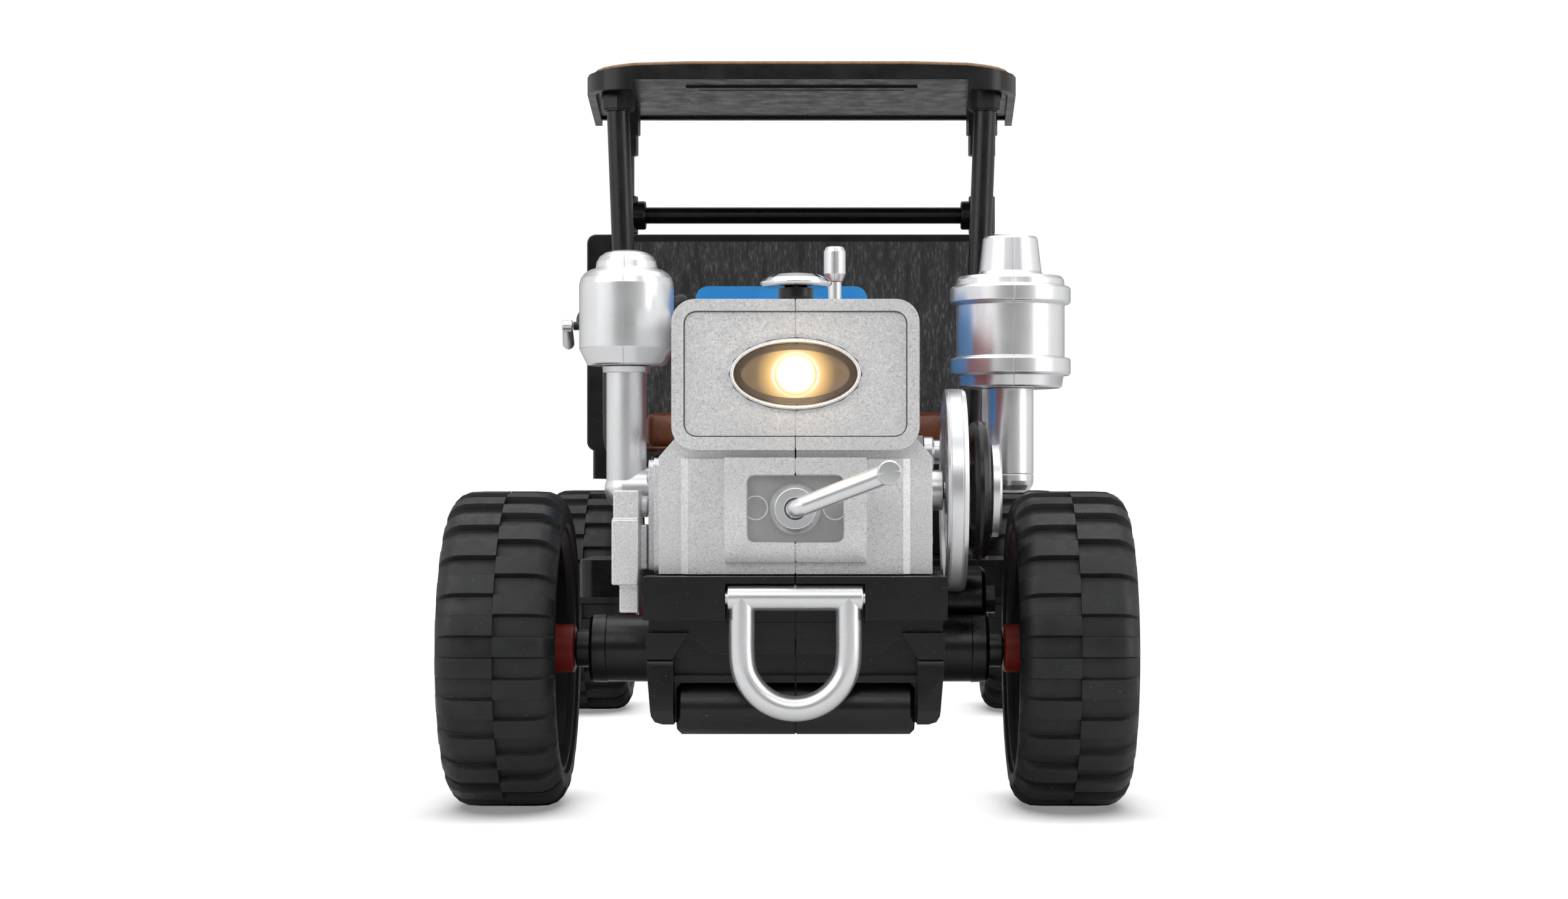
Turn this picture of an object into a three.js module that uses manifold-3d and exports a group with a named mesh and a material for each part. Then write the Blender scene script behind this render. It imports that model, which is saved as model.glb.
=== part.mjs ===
// Toy walking tractor that pulls a two-wheel trailer with a seat, a cargo bed and a canopy.
// Millimetres, +Z up, the front faces -Y. The origin is on the ground under the middle of the toy.
import * as THREE from 'three';
import { mergeVertices } from 'three/addons/utils/BufferGeometryUtils.js';
import Module from 'manifold-3d';

const wasm = await Module();
wasm.setup();

// Driving dimensions. Y values are measured backwards from the front axle, Z from the ground.
const FRONT_AXLE_Y = -142;
const GAP = 0.3;
const WHEEL_RADIUS = 37.5;
const TYRE_WIDTH = 27.4;
const BEAD_RADIUS = 26.5;
const FRONT_TRACK = 133;
const FRONT_AXLE_SHIFT = -2;
const REAR_TRACK = 147.4;
const WHEELBASE = 278;
const SHAFT_RADIUS = 2;

const ENGINE = { halfWidth: 30.5, front: -43.6, back: 30, bottom: 56.6, shoulder: 82.7, top: 86.7 };
const HOPPER = { halfWidth: 27.5, front: -47, back: -18, bottom: 84.2, top: 117.7, corner: 5.2 };
const HEADLIGHT = { z: 101.1, halfWidth: 14.55, halfHeight: 7.9, lensHalfWidth: 13.7, lensHalfHeight: 6.95 };
const CRANK = { z: 71.2, armAngle: 21, armLength: 21.9, planeY: -56, handleFront: -65 };
const COVER = { back: 11, top: 116, shelfTop: 89.6 };
const FLYWHEEL = { y: -12, z: 75.3, radius: 23.75, inner: 34.2, outer: 39.3 };
const SIDE_PLATE = { x: -33.3, front: -36, back: 16, bottom: 57.2, top: 82.2 };
const MUFFLER = { x: -39.6, y: -18, radius: 11, bottom: 104.2, pipeRadius: 4.65, elbowZ: 75.6, elbowRadius: 5 };
const CLEANER = { x: 52.2, y: 20, radius: 13.35, bandRadius: 14.85, bottom: 100.4, pipeRadius: 5.7, inletZ: 84.7 };
const MOTOR = { y: 12.9, z: 48.6, radius: 5.5, neckRadius: 7.7, housingRadius: 8.2, housingEnd: 45.4 };
const GEARS = { x: 8, width: 5, pinionTeeth: 8, axleTeeth: 18, addendum: 0.9, dedendum: 1.3 };
const TOW = { y: -50, z: 51.5, rod: 2.95, halfWidth: 11.8, arcZ: 39.05 };
const HITCH = { y: 52, tongueRadius: 8, tongueBottom: 42, tongueTop: 48, pin: 2.2 };
const PLATFORM = { halfWidth: 60.5, front: 88, back: 131, bottom: 46, top: 56.2 };
const WALL = { halfWidth: 62, lowerHalfWidth: 60, front: 128.6, back: 132.6, bottom: 78.5, top: 148.7 };
const BED = { halfWidth: 60.5, front: 132.9, back: 348, bottom: 78.5, top: 118, wall: 2.6 };
const ROOF = { front: 85, back: 162, frontHalfWidth: 59, backHalfWidth: 62.3, bottom: 184, edge: 188.4, top: 190.8 };
const SEAT_PAD_TOP = 57;
const FRONT_POST = { x: 46, topX: 50.5, y: 97, radius: 3.1 };
const REAR_POST = { x: 52.7, y: 150, radius: 2.8, crossbarZ: 156.3, collarInnerX: 46.5, footZ: 84 };
const POST_TOP = 186.2;

// Materials
const finish = (color, roughness, metalness) => new THREE.MeshStandardMaterial({ color, roughness, metalness });
const silverPaint = finish(0xc8c8ca, 0.45, 0.6);
const satinSilver = finish(0xd0d2d4, 0.25, 0.8);
const chrome = finish(0xe6e8ea, 0.08, 1);
const blackPlastic = finish(0x1c1c1e, 0.4, 0);
const greyPlastic = finish(0x3a3a3c, 0.6, 0);
const tyreRubber = finish(0x333537, 0.7, 0);
const redPlastic = finish(0x8a1c12, 0.4, 0);
const bluePlastic = finish(0x2f8fd6, 0.35, 0);
const brownSeat = finish(0x6e3420, 0.5, 0);
const woodGrain = finish(0x47474a, 0.7, 0);
const tanSkin = finish(0xb08868, 0.8, 0);
const smokedLens = finish(0xa08050, 0.1, 0);
const warmBulb = finish(0xffe9a8, 0.2, 0);
const steel = finish(0xa8abad, 0.3, 1);

// Solids. Each helper returns a closed solid that can be joined and cut.
function signedVolume(positions, corners) {
  const [a, b, c] = [new THREE.Vector3(), new THREE.Vector3(), new THREE.Vector3()];
  let total = 0;
  for (let i = 0; i < corners.length; i += 3) {
    a.fromArray(positions, 3 * corners[i]);
    b.fromArray(positions, 3 * corners[i + 1]);
    c.fromArray(positions, 3 * corners[i + 2]);
    total += a.dot(b.cross(c));
  }
  return total;
}

function toSolid(geometry) {
  geometry.deleteAttribute('normal');
  geometry.deleteAttribute('uv');
  const merged = mergeVertices(geometry, 1e-4);
  const positions = Float32Array.from(merged.attributes.position.array);
  const corners = [];
  for (let i = 0; i < merged.index.count; i += 3) {
    const [a, b, c] = [0, 1, 2].map((k) => merged.index.getX(i + k));
    if (a !== b && b !== c && c !== a) corners.push(a, b, c);
  }
  if (signedVolume(positions, corners) < 0) corners.reverse();
  const triVerts = Uint32Array.from(corners);
  return new wasm.Manifold(new wasm.Mesh({ numProp: 3, vertProperties: positions, triVerts }));
}

function toGeometry(solid) {
  const mesh = solid.getMesh();
  const geometry = new THREE.BufferGeometry();
  geometry.setAttribute('position', new THREE.BufferAttribute(mesh.vertProperties, 3));
  geometry.setIndex(new THREE.BufferAttribute(mesh.triVerts, 1));
  geometry.computeVertexNormals();
  return geometry;
}

const join = (first, ...others) => others.reduce((whole, next) => whole.add(next), first);
const cut = (first, ...others) => others.reduce((whole, next) => whole.subtract(next), first);

function box(x0, x1, y0, y1, z0, z1) {
  const geometry = new THREE.BoxGeometry(x1 - x0, y1 - y0, z1 - z0);
  geometry.translate((x0 + x1) / 2, (y0 + y1) / 2, (z0 + z1) / 2);
  return toSolid(geometry);
}

const polygon = (points) => new THREE.Shape(points.map(([u, v]) => new THREE.Vector2(u, v)));
const mirrored = (points) => points.concat(points.map(([u, v]) => [-u, v]).reverse());

function ellipse(u, v, halfWidth, halfHeight) {
  const shape = new THREE.Shape();
  shape.absellipse(u, v, halfWidth, halfHeight, 0, 2 * Math.PI);
  return shape;
}

function roundedRect(u0, u1, v0, v1, r) {
  const shape = new THREE.Shape();
  shape.moveTo(u0 + r, v0);
  shape.absarc(u1 - r, v0 + r, r, -Math.PI / 2, 0);
  shape.absarc(u1 - r, v1 - r, r, 0, Math.PI / 2);
  shape.absarc(u0 + r, v1 - r, r, Math.PI / 2, Math.PI);
  shape.absarc(u0 + r, v0 + r, r, Math.PI, 1.5 * Math.PI);
  return shape;
}

// An outline pulled along an axis. Across X it lies in YZ, across Y in XZ, across Z in XY.
function prism(axis, shape, from, to, curveSegments = 4) {
  const geometry = new THREE.ExtrudeGeometry(shape, { depth: to - from, bevelEnabled: false, curveSegments });
  if (axis === 'x') {
    const [x, y, z] = [new THREE.Vector3(1, 0, 0), new THREE.Vector3(0, 1, 0), new THREE.Vector3(0, 0, 1)];
    geometry.applyMatrix4(new THREE.Matrix4().makeBasis(y, z, x));
    geometry.translate(from, 0, 0);
  } else if (axis === 'y') {
    geometry.rotateX(Math.PI / 2);
    geometry.translate(0, to, 0);
  } else {
    geometry.translate(0, 0, from);
  }
  return toSolid(geometry);
}

// A [radius, distance] profile turned round an axis through centre.
function turned(axis, profile, centre, segments = 16) {
  const points = profile.map(([radius, along]) => new THREE.Vector2(radius, along));
  const geometry = new THREE.LatheGeometry(points, segments);
  if (axis === 'x') geometry.rotateZ(-Math.PI / 2);
  if (axis === 'z') geometry.rotateX(Math.PI / 2);
  geometry.translate(...centre);
  return toSolid(geometry);
}

const closedRing = (profile) => profile.concat([profile[0]]);

function rod(axis, radius, from, to, centre, segments = 12) {
  return turned(axis, [[0, from], [radius, from], [radius, to], [0, to]], centre, segments);
}

// A round bar between two points, with an optional second radius at the far end.
function bar(start, end, radius, segments = 10, endRadius = radius) {
  const [a, b] = [new THREE.Vector3(...start), new THREE.Vector3(...end)];
  const direction = b.clone().sub(a);
  const geometry = new THREE.CylinderGeometry(endRadius, radius, direction.length(), segments);
  const turn = new THREE.Quaternion().setFromUnitVectors(new THREE.Vector3(0, 1, 0), direction.normalize());
  geometry.applyQuaternion(turn);
  geometry.translate(...a.add(b).multiplyScalar(0.5).toArray());
  return toSolid(geometry);
}

function ball(centre, radius, segments = 8) {
  const geometry = new THREE.SphereGeometry(radius, segments, Math.round(segments / 2));
  geometry.translate(...centre);
  return toSolid(geometry);
}

// A round tube along a smooth curve through the points.
function swept(points, radius, steps, sides = 10) {
  const path = new THREE.CatmullRomCurve3(points.map((p) => new THREE.Vector3(...p)), false, 'centripetal');
  const section = [];
  for (let i = 0; i < sides; i += 1) {
    const angle = (2 * Math.PI * i) / sides;
    section.push([radius * Math.cos(angle), radius * Math.sin(angle)]);
  }
  return toSolid(new THREE.ExtrudeGeometry(polygon(section), { steps, extrudePath: path }));
}

function addPiece(parent, name, solid, material, position = [0, 0, 0]) {
  const mesh = new THREE.Mesh(toGeometry(solid), material);
  mesh.name = name;
  mesh.position.set(...position);
  parent.add(mesh);
}

// A casing moulded as a left and a right half that meet at the centre seam.
function addHalves(parent, name, solid, material) {
  const reach = 100;
  const seam = GAP / 2;
  addPiece(parent, `${name}_left`, cut(solid, box(-seam, reach, -reach, reach, 0, 200)), material);
  addPiece(parent, `${name}_right`, cut(solid, box(-reach, seam, -reach, reach, 0, 200)), material);
}

// Engine: a thin-walled casing with a raised face, a crank housing with a window pocket, a stepped
// cover plate on the left and an intake port on the right.
function engineCasing() {
  const { halfWidth, front, back, bottom, shoulder, top } = ENGINE;
  const outline = mirrored([[halfWidth, bottom], [halfWidth, shoulder], [halfWidth - 3.5, top]]);
  const body = prism('y', polygon(outline), front, back);
  const face = prism('z', polygon([[-26, front + 0.5], [26, front + 0.5], [24, -45], [-24, -45]]), bottom, 82.3);
  const housingSide = [[-43, 59.2], [-46.2, 59.2], [-48.5, 66.5], [-48.5, 82.5], [-43, 82.5]];
  const housing = prism('x', polygon(housingSide), -15.7, 15.7);
  const pocket = prism('y', roundedRect(-10.8, 10.8, CRANK.z - 7.55, CRANK.z + 7.55, 1.8), -49, -46.3);
  const bushHole = rod('y', 3.7, -49, -40, [0, 0, CRANK.z]);
  const hollow = box(-28.5, 28.5, -41.6, 28, 58.6, 84.7);
  const shaftHole = rod('x', SHAFT_RADIUS + 0.6, 27, 32, [0, FLYWHEEL.y, FLYWHEEL.z]);
  const { x, front: plateFront, back: plateBack, bottom: plateBottom, top: plateTop } = SIDE_PLATE;
  const plate = prism('x', roundedRect(plateFront, plateBack, plateBottom, plateTop, 2), x, -30);
  const stepShape = roundedRect(plateFront - 3, plateBack + 4, plateBottom - 0.5, plateTop + 0.4, 2);
  const plateStep = prism('x', stepShape, x + 1.4, -30);
  const intakePort = box(25.5, 30.4, CLEANER.y - 5.5, CLEANER.y + 5.5, 78, 88.6);
  const casing = cut(join(body, face, housing), pocket, bushHole, hollow, shaftHole);
  return join(casing, plate, plateStep, intakePort);
}

// Hopper: an open-bottomed box whose front frame hangs lower than the rest.
function hopperCasing() {
  const { halfWidth, front, back, bottom, top, corner } = HOPPER;
  const frame = prism('y', roundedRect(-halfWidth, halfWidth, bottom, top, corner), front, front + 2.3);
  const tub = prism('y', roundedRect(-halfWidth, halfWidth, ENGINE.top + GAP, top, corner), front + 2, back);
  const panel = prism('y', roundedRect(-24.85, 24.85, 87.1, 115.1, 2.9), front - 1, front + 0.9);
  const hollow = box(-25.3, 25.3, front + 2.8, back - 2, bottom + 1, top - 2.2);
  const { halfWidth: lampWidth, halfHeight: lampHeight } = HEADLIGHT;
  const lampShape = ellipse(0, HEADLIGHT.z, lampWidth + GAP, lampHeight + GAP);
  const lampHole = prism('y', lampShape, front - 1, front + 4, 8);
  return cut(join(frame, tub), panel, hollow, lampHole);
}

function headlight(group) {
  const { z, halfWidth, halfHeight, lensHalfWidth, lensHalfHeight } = HEADLIGHT;
  const { front } = HOPPER;
  const rim = prism('y', ellipse(0, z, halfWidth, halfHeight), front - 0.5, front + 2.6, 8);
  const opening = prism('y', ellipse(0, z, lensHalfWidth, lensHalfHeight), front - 2, front + 4, 8);
  const lens = prism('y', ellipse(0, z, lensHalfWidth - GAP, lensHalfHeight - GAP), front + 0.6, front + 2, 8);
  const bulb = join(rod('y', 4.6, 0, 4, [0, front + 4.4, z]), ball([0, front + 6, z], 3.6));
  addPiece(group, 'headlight_bezel', cut(rim, opening), silverPaint);
  addPiece(group, 'headlight_lens', lens, smokedLens);
  addPiece(group, 'headlight_bulb', bulb, warmBulb);
}

function crank(group) {
  const bushProfile = [
    [2.45, -41], [3.4, -41], [3.4, -46.6], [5.7, -46.6], [5.7, -47.4], [4.5, -48.9], [2.45, -48.9],
  ];
  addPiece(group, 'crank_bush', turned('y', closedRing(bushProfile), [0, 0, CRANK.z]), satinSilver);
  const angle = THREE.MathUtils.degToRad(CRANK.armAngle);
  const endX = CRANK.armLength * Math.cos(angle);
  const endZ = CRANK.z + CRANK.armLength * Math.sin(angle);
  const elbow = [0, CRANK.planeY, CRANK.z];
  const armEnd = [endX, CRANK.planeY, endZ];
  const shaft = bar([0, -38, CRANK.z], elbow, SHAFT_RADIUS);
  const arm = bar(elbow, armEnd, SHAFT_RADIUS, 10, 2.3);
  const handle = bar([endX, CRANK.planeY + 1.7, endZ], [endX, CRANK.handleFront, endZ], 2.75);
  const solid = join(shaft, ball(elbow, SHAFT_RADIUS + 0.02), arm, handle);
  addPiece(group, 'crank_handle', solid, satinSilver);
}

function fillerNeckAndCap(group) {
  const centre = [0, -37, 0];
  const seat = HOPPER.top + GAP;
  const neck = [[2.8, seat], [3.9, seat], [3.9, 120.8], [2.8, 120.8]];
  const cap = [
    [0, 119], [2.4, 119], [2.4, 121.1], [7.4, 121.1], [8.1, 121.7], [8.1, 122.3], [6, 123.7], [3, 124.2], [0, 124.3],
  ];
  addPiece(group, 'filler_neck', turned('z', closedRing(neck), centre, 12), blackPlastic);
  addPiece(group, 'filler_cap', turned('z', cap, centre, 18), chrome);
}

function throttleLever(group) {
  const [x, y, pivotZ] = [8.8, -9.5, 89.7];
  const knob = [[0, 124.2], [1.9, 124.2], [2.6, 126], [2.6, 131.6], [2, 132.6], [0, 132.6]];
  const stem = rod('z', 1.6, pivotZ, 125, [x, y, 0], 8);
  const solid = join(ball([x, y, pivotZ], 2.6), stem, turned('z', knob, [x, y, 0], 10));
  addPiece(group, 'throttle_lever', solid, satinSilver);
}

function muffler(group) {
  const { x, y, radius, bottom, pipeRadius, elbowZ, elbowRadius } = MUFFLER;
  const profile = [
    [0, bottom], [9, bottom], [radius, 108], [radius, 123.1], [9.7, 125.6], [7.2, 126.7],
    [6.9, 128.4], [4.9, 130.4], [0, 131],
  ];
  addPiece(group, 'muffler', turned('z', profile, [x, y, 0], 18), satinSilver);
  const pipe = rod('z', pipeRadius, elbowZ, bottom - GAP, [x, y, 0], 14);
  const elbow = rod('x', elbowRadius, x, SIDE_PLATE.x - GAP, [0, y, elbowZ], 14);
  addPiece(group, 'muffler_pipe', join(pipe, elbow, ball([x, y, elbowZ], elbowRadius + 0.05, 12)), satinSilver);
}

function injectionPump(group) {
  const inner = -35.2;
  const wall = SIDE_PLATE.x - GAP;
  const head = box(-40.9, inner, -41, -27, 68.6, 75.3);
  const body = box(-41.2, inner, -42, -26, 54.1, 68.8);
  const foot = box(-39.6, inner, -40, -28, 47.8, 54.3);
  const upperBoss = rod('x', 2.5, inner - 1, wall, [0, -31, 71.6]);
  const flange = box(inner - 1, wall, -35.5, -27.5, 57.4, 67.5);
  addPiece(group, 'injection_pump', join(head, body, foot, upperBoss, flange), silverPaint);
}

function airCleaner(group) {
  const { x, y, radius, bandRadius, bottom, pipeRadius, inletZ } = CLEANER;
  const profile = [
    [0, bottom], [12.4, bottom], [13, 103.5], [bandRadius, 103.5], [bandRadius, 107.7], [radius, 107.7],
    [radius, 121], [bandRadius, 121], [bandRadius, 125.3], [radius, 125.3], [12.8, 127.9], [7.9, 128.3],
    [6.7, 137], [6, 137.7], [0, 137.7],
  ];
  addPiece(group, 'air_cleaner', turned('z', profile, [x, y, 0], 18), satinSilver);
  const pipeTop = bottom - GAP;
  const pipeProfile = [[0, 74.6], [3.6, 74.6], [5.1, 75.5], [pipeRadius, 77.2], [pipeRadius, pipeTop], [0, pipeTop]];
  const pipe = turned('z', pipeProfile, [x, y, 0], 16);
  const inlet = rod('x', 3, ENGINE.halfWidth + GAP, x, [0, y, inletZ]);
  const flange = rod('x', 3.8, ENGINE.halfWidth + GAP, 33.2, [0, y, inletZ]);
  const rib = box(x - 6.9, x - 2, y + 1, y + 3, 78, pipeTop);
  addPiece(group, 'air_cleaner_pipe', join(pipe, inlet, flange, rib), satinSilver);
}

function flywheelAndShaft(group) {
  const centre = [0, FLYWHEEL.y, FLYWHEEL.z];
  const { radius, inner, outer } = FLYWHEEL;
  const web = { inner: 36.2, outer: 38.6 };
  const wheel = [
    [SHAFT_RADIUS + GAP, inner + 0.4], [5.5, inner + 0.4], [5.5, web.inner], [19.5, web.inner], [19.5, inner],
    [radius - 0.6, inner], [radius, inner + 0.6], [radius, outer - 0.6], [radius - 0.6, outer], [19.5, outer],
    [19.5, web.outer], [SHAFT_RADIUS + GAP, web.outer],
  ];
  let solid = turned('x', closedRing(wheel), [0, 0, 0], 28);
  const holeCount = 5;
  for (let i = 0; i < holeCount; i += 1) {
    const angle = (2 * Math.PI * i) / holeCount;
    solid = cut(solid, rod('x', 4.8, 30, 42, [0, 12.6 * Math.cos(angle), 12.6 * Math.sin(angle)], 8));
  }
  addPiece(group, 'flywheel', solid, satinSilver, centre);
  const ring = [[6, 39.6], [14, 39.6], [16, 40.8], [16.45, 42.2], [16, 43.6], [14, 44.8], [6, 44.8]];
  addPiece(group, 'pulley_ring', turned('x', closedRing(ring), [0, 0, 0], 20), blackPlastic, centre);
  const shaft = [
    [0, 20], [SHAFT_RADIUS, 20], [SHAFT_RADIUS, 30.8], [4.75, 30.8], [4.75, 34.3], [SHAFT_RADIUS, 34.3],
    [SHAFT_RADIUS, 38.9], [5.7, 38.9], [5.7, 45.1], [11, 45.1], [11, 47.1], [10.6, 47.5], [0, 47.5],
  ];
  addPiece(group, 'crankshaft', turned('x', shaft, [0, 0, 0], 14), satinSilver, centre);
}

function fuelTank(group) {
  const lower = prism('y', roundedRect(-26, 25, COVER.shelfTop + GAP, 121, 4), COVER.back + GAP, 38);
  const shoulder = prism('y', roundedRect(-30.5, 25, 110, 119.8, 4), COVER.back + GAP, 38);
  const raised = prism('y', roundedRect(-25.1, 16.8, 110, 125.1, 3), COVER.back + 3, 35);
  addPiece(group, 'fuel_tank', join(lower, shoulder, raised), bluePlastic);
}

// Red cover: a hood behind the hopper, slotted for the throttle, a shelf for the tank and a back plate.
function rearCover(group) {
  const { back, top, shelfTop } = COVER;
  const low = ENGINE.top + GAP;
  const hood = prism('y', roundedRect(-24.5, 24.5, low, top, 3), HOPPER.back + GAP, back);
  const shelf = box(-18, 22, back - 1, 46, low, shelfTop);
  const riser = box(-14, 22, ENGINE.back + GAP, 46, 66, shelfTop);
  const outline = mirrored([[26.5, 53], [31, 42.5], [40.5, 42.5], [40.5, 47], [30.5, 52], [30.5, 70]]);
  const slot = box(5.2, 12.4, HOPPER.back, -1.5, 86, 120);
  const solid = join(hood, shelf, riser, prism('y', polygon(outline), 34.4, 46));
  addPiece(group, 'rear_cover', cut(solid, slot), redPlastic);
}

// Front chassis: a beam with a notch for the tow ring, slanted lugs and cheeks with a roller between.
function chassisCasing() {
  const beam = box(-33.5, 33.5, -52, -40, 46.7, 56.3);
  const belly = box(-32.6, 32.6, -46.3, -24.3, 42, 46.9);
  const shelf = prism('y', polygon(mirrored([[19, 38.6], [23, 42.2]])), -45.5, -40);
  const sill = box(-27.2, 27.2, -46, -40, 32.6, 34.2);
  const backWall = box(-27.2, 27.2, -43, -38, 23.5, 42.2);
  const floor = box(-27.2, 27.2, -40, -24.3, 23.5, 27);
  const roller = [[0, -26.5], [5, -26.5], [6, -25.5], [6, 25.5], [5, 26.5], [0, 26.5]];
  let solid = join(beam, belly, shelf, sill, backWall, floor, turned('x', roller, [0, -40.8, 26.7]));
  const side = mirrored([[29.6, 23.2], [31.3, 23.8], [32, 25.2], [32.7, 34], [33.2, 44]]);
  const outline = prism('y', polygon(side), -60, 0);
  const cheekSide = [[-49, 26.5], [-45, 23.2], [-28, 23.2], [-24.3, 27], [-24.3, 42.4], [-46, 42.4], [-49, 36]];
  for (const end of [-1, 1]) {
    const across = (near, far) => (end > 0 ? [near, far] : [-far, -near]);
    const lugShape = [[33.5, 43.8], [23.6, 43.8], [27.2, 37.9], [33.5, 37.9]].map(([x, z]) => [end * x, z]);
    const lug = prism('y', polygon(lugShape), -49, -40);
    const cheek = prism('x', polygon(cheekSide), ...across(27, 33.5));
    const rail = box(...across(26.4, 32), -41, 4, 47.6, 56.3);
    solid = join(solid, join(lug, cheek).intersect(outline), rail);
  }
  const notch = box(-15.4, 15.4, -53, -46, 46, 54.8);
  const pinHole = rod('x', 1.8, -19, 19, [0, TOW.y, TOW.z], 12);
  return cut(solid, notch, pinHole);
}

function towRing(group) {
  const { y, z, rod: radius, halfWidth, arcZ } = TOW;
  const points = [[-halfWidth, y, z], [-halfWidth, y, (z + arcZ) / 2]];
  const arcSteps = 8;
  for (let i = 0; i <= arcSteps; i += 1) {
    const angle = (Math.PI * i) / arcSteps;
    points.push([-halfWidth * Math.cos(angle), y, arcZ - halfWidth * Math.sin(angle)]);
  }
  points.push([halfWidth, y, (z + arcZ) / 2], [halfWidth, y, z]);
  const barEnd = halfWidth + radius + 0.25;
  const topBar = rod('x', radius, -barEnd, barEnd, [0, y, z]);
  const pins = rod('x', 1.5, -18, 18, [0, y, z], 8);
  addPiece(group, 'tow_ring', join(swept(points, radius, 18, 8), topBar, pins), satinSilver);
}

// Gearbox: axle tubes to both sides, the motor housing on the right, the hitch tongue behind.
function gearboxCasing() {
  const axleZ = WHEEL_RADIUS;
  const shell = mirrored([[20, 22.8], [26, 27], [26, 56.2]]);
  const body = prism('y', polygon(shell), -24, 34);
  const shift = FRONT_AXLE_SHIFT;
  const tubes = [[0, -47.3], [7.5, -47.3], [8, -44], [8, 44], [7.5, 47.3], [0, 47.3]];
  const axleTubes = turned('x', tubes, [shift, 0, axleZ]);
  const collars = rod('x', 9.6, -30.5, 30.5, [0, 0, axleZ], 16);
  const housingNeck = rod('x', MOTOR.neckRadius, 20, 36, [0, MOTOR.y, MOTOR.z], 16);
  const { housingRadius, housingEnd } = MOTOR;
  const housing = [[0, 32], [housingRadius, 32], [housingRadius, housingEnd - 1], [7.2, housingEnd], [0, housingEnd]];
  const motorHousing = turned('x', housing, [0, MOTOR.y, MOTOR.z]);
  const endCap = rod('x', 3.4, 40, 47.9, [0, MOTOR.y, MOTOR.z]);
  const tongue = box(-7, 7, 33, HITCH.y, HITCH.tongueBottom, HITCH.tongueTop);
  const eye = rod('z', HITCH.tongueRadius, HITCH.tongueBottom, HITCH.tongueTop, [0, HITCH.y, 0]);
  const pinHole = rod('z', HITCH.pin + 0.4, 40, 50, [0, HITCH.y, 0]);
  const axleBore = rod('x', 5, -60, 60, [0, 0, axleZ], 12);
  const cavityRadius = (teeth) => pitchRadius(teeth) + GEARS.addendum + 0.6;
  const cavityEnd = GEARS.x + GEARS.width + 1;
  const gearCavity = rod('x', cavityRadius(GEARS.axleTeeth), 0, cavityEnd, [0, 0, axleZ], 20);
  const pinionCavity = rod('x', cavityRadius(GEARS.pinionTeeth), 0, cavityEnd, [0, MOTOR.y, MOTOR.z]);
  const motorBore = rod('x', MOTOR.radius + 0.4, 10, 41, [0, MOTOR.y, MOTOR.z]);
  const solid = join(body, axleTubes, collars, housingNeck, motorHousing, endCap, tongue, eye);
  return cut(solid, pinHole, axleBore, gearCavity, pinionCavity, motorBore);
}

// Motor and axle gears share the distance between their shafts by their numbers of teeth.
const gearLine = {
  distance: Math.hypot(MOTOR.y, MOTOR.z - WHEEL_RADIUS),
  angle: Math.atan2(MOTOR.z - WHEEL_RADIUS, MOTOR.y),
};
const pitchRadius = (teeth) => (gearLine.distance * teeth) / (GEARS.pinionTeeth + GEARS.axleTeeth);

// A spur gear with one tooth pointing along toothAngle; its teeth taper from root to tip.
function gear(teeth, toothAngle, bore) {
  const pitch = (2 * Math.PI) / teeth;
  const root = pitchRadius(teeth) - GEARS.dedendum;
  const tip = pitchRadius(teeth) + GEARS.addendum;
  const flank = [[-0.33, root], [-0.12, tip], [0.12, tip], [0.33, root]];
  const outline = [];
  for (let i = 0; i < teeth; i += 1) {
    for (const [step, radius] of flank) {
      const angle = toothAngle + (i + step) * pitch;
      outline.push([radius * Math.cos(angle), radius * Math.sin(angle)]);
    }
  }
  return cut(prism('x', polygon(outline), 0, GEARS.width), rod('x', bore, -1, GEARS.width + 1, [0, 0, 0], 8));
}

function driveTrain(group) {
  const [y, z] = [MOTOR.y, MOTOR.z];
  const can = rod('x', MOTOR.radius, 14.6, 40, [0, y, z]);
  const spindle = rod('x', 1, 5, 15, [0, y, z], 8);
  addPiece(group, 'drive_motor', join(can, spindle), steel);
  const gapAngle = gearLine.angle + Math.PI + Math.PI / GEARS.pinionTeeth;
  addPiece(group, 'motor_pinion', gear(GEARS.pinionTeeth, gapAngle, 1.3), greyPlastic, [GEARS.x, y, z]);
  const axleGear = gear(GEARS.axleTeeth, gearLine.angle, SHAFT_RADIUS + GAP);
  addPiece(group, 'axle_gear', axleGear, greyPlastic, [GEARS.x, 0, WHEEL_RADIUS]);
}

function frontAxle(group) {
  const half = [[SHAFT_RADIUS, 44.2], [4.5, 44.2], [4.5, 50.8], [SHAFT_RADIUS, 50.8], [SHAFT_RADIUS, 69], [0, 69]];
  const profile = half.map(([radius, along]) => [radius, -along]).reverse().concat(half);
  const centre = [FRONT_AXLE_SHIFT, 0, WHEEL_RADIUS];
  addPiece(group, 'front_axle', turned('x', profile, [0, 0, 0], 12), blackPlastic, centre);
}

// A tyre with flat tread and rounded shoulders, open in the middle for the rim.
function tyre() {
  const half = TYRE_WIDTH / 2;
  const side = [
    [BEAD_RADIUS, half - 2.4], [BEAD_RADIUS + 2, half - 0.4], [32, half], [35.5, half - 1.2],
    [WHEEL_RADIUS, half - 3.6],
  ];
  const profile = side.concat(side.map(([radius, along]) => [radius, -along]).reverse());
  return turned('x', closedRing(profile), [0, 0, 0], 30);
}

// A rim whose hub reaches inboard; side is +1 on the right and -1 on the left.
function rim(side) {
  const profile = [
    [SHAFT_RADIUS + GAP, -15.4], [5.75, -15.4], [5.75, 2], [21.5, 4], [23.5, -6], [BEAD_RADIUS - GAP, -6],
    [BEAD_RADIUS - GAP, 10.5], [23.8, 10.5], [22.5, 6.5], [0, 9], [0, 6], [SHAFT_RADIUS + GAP, 6],
  ];
  return turned('x', closedRing(profile.map(([radius, along]) => [radius, side * along])), [0, 0, 0], 18);
}

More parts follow.
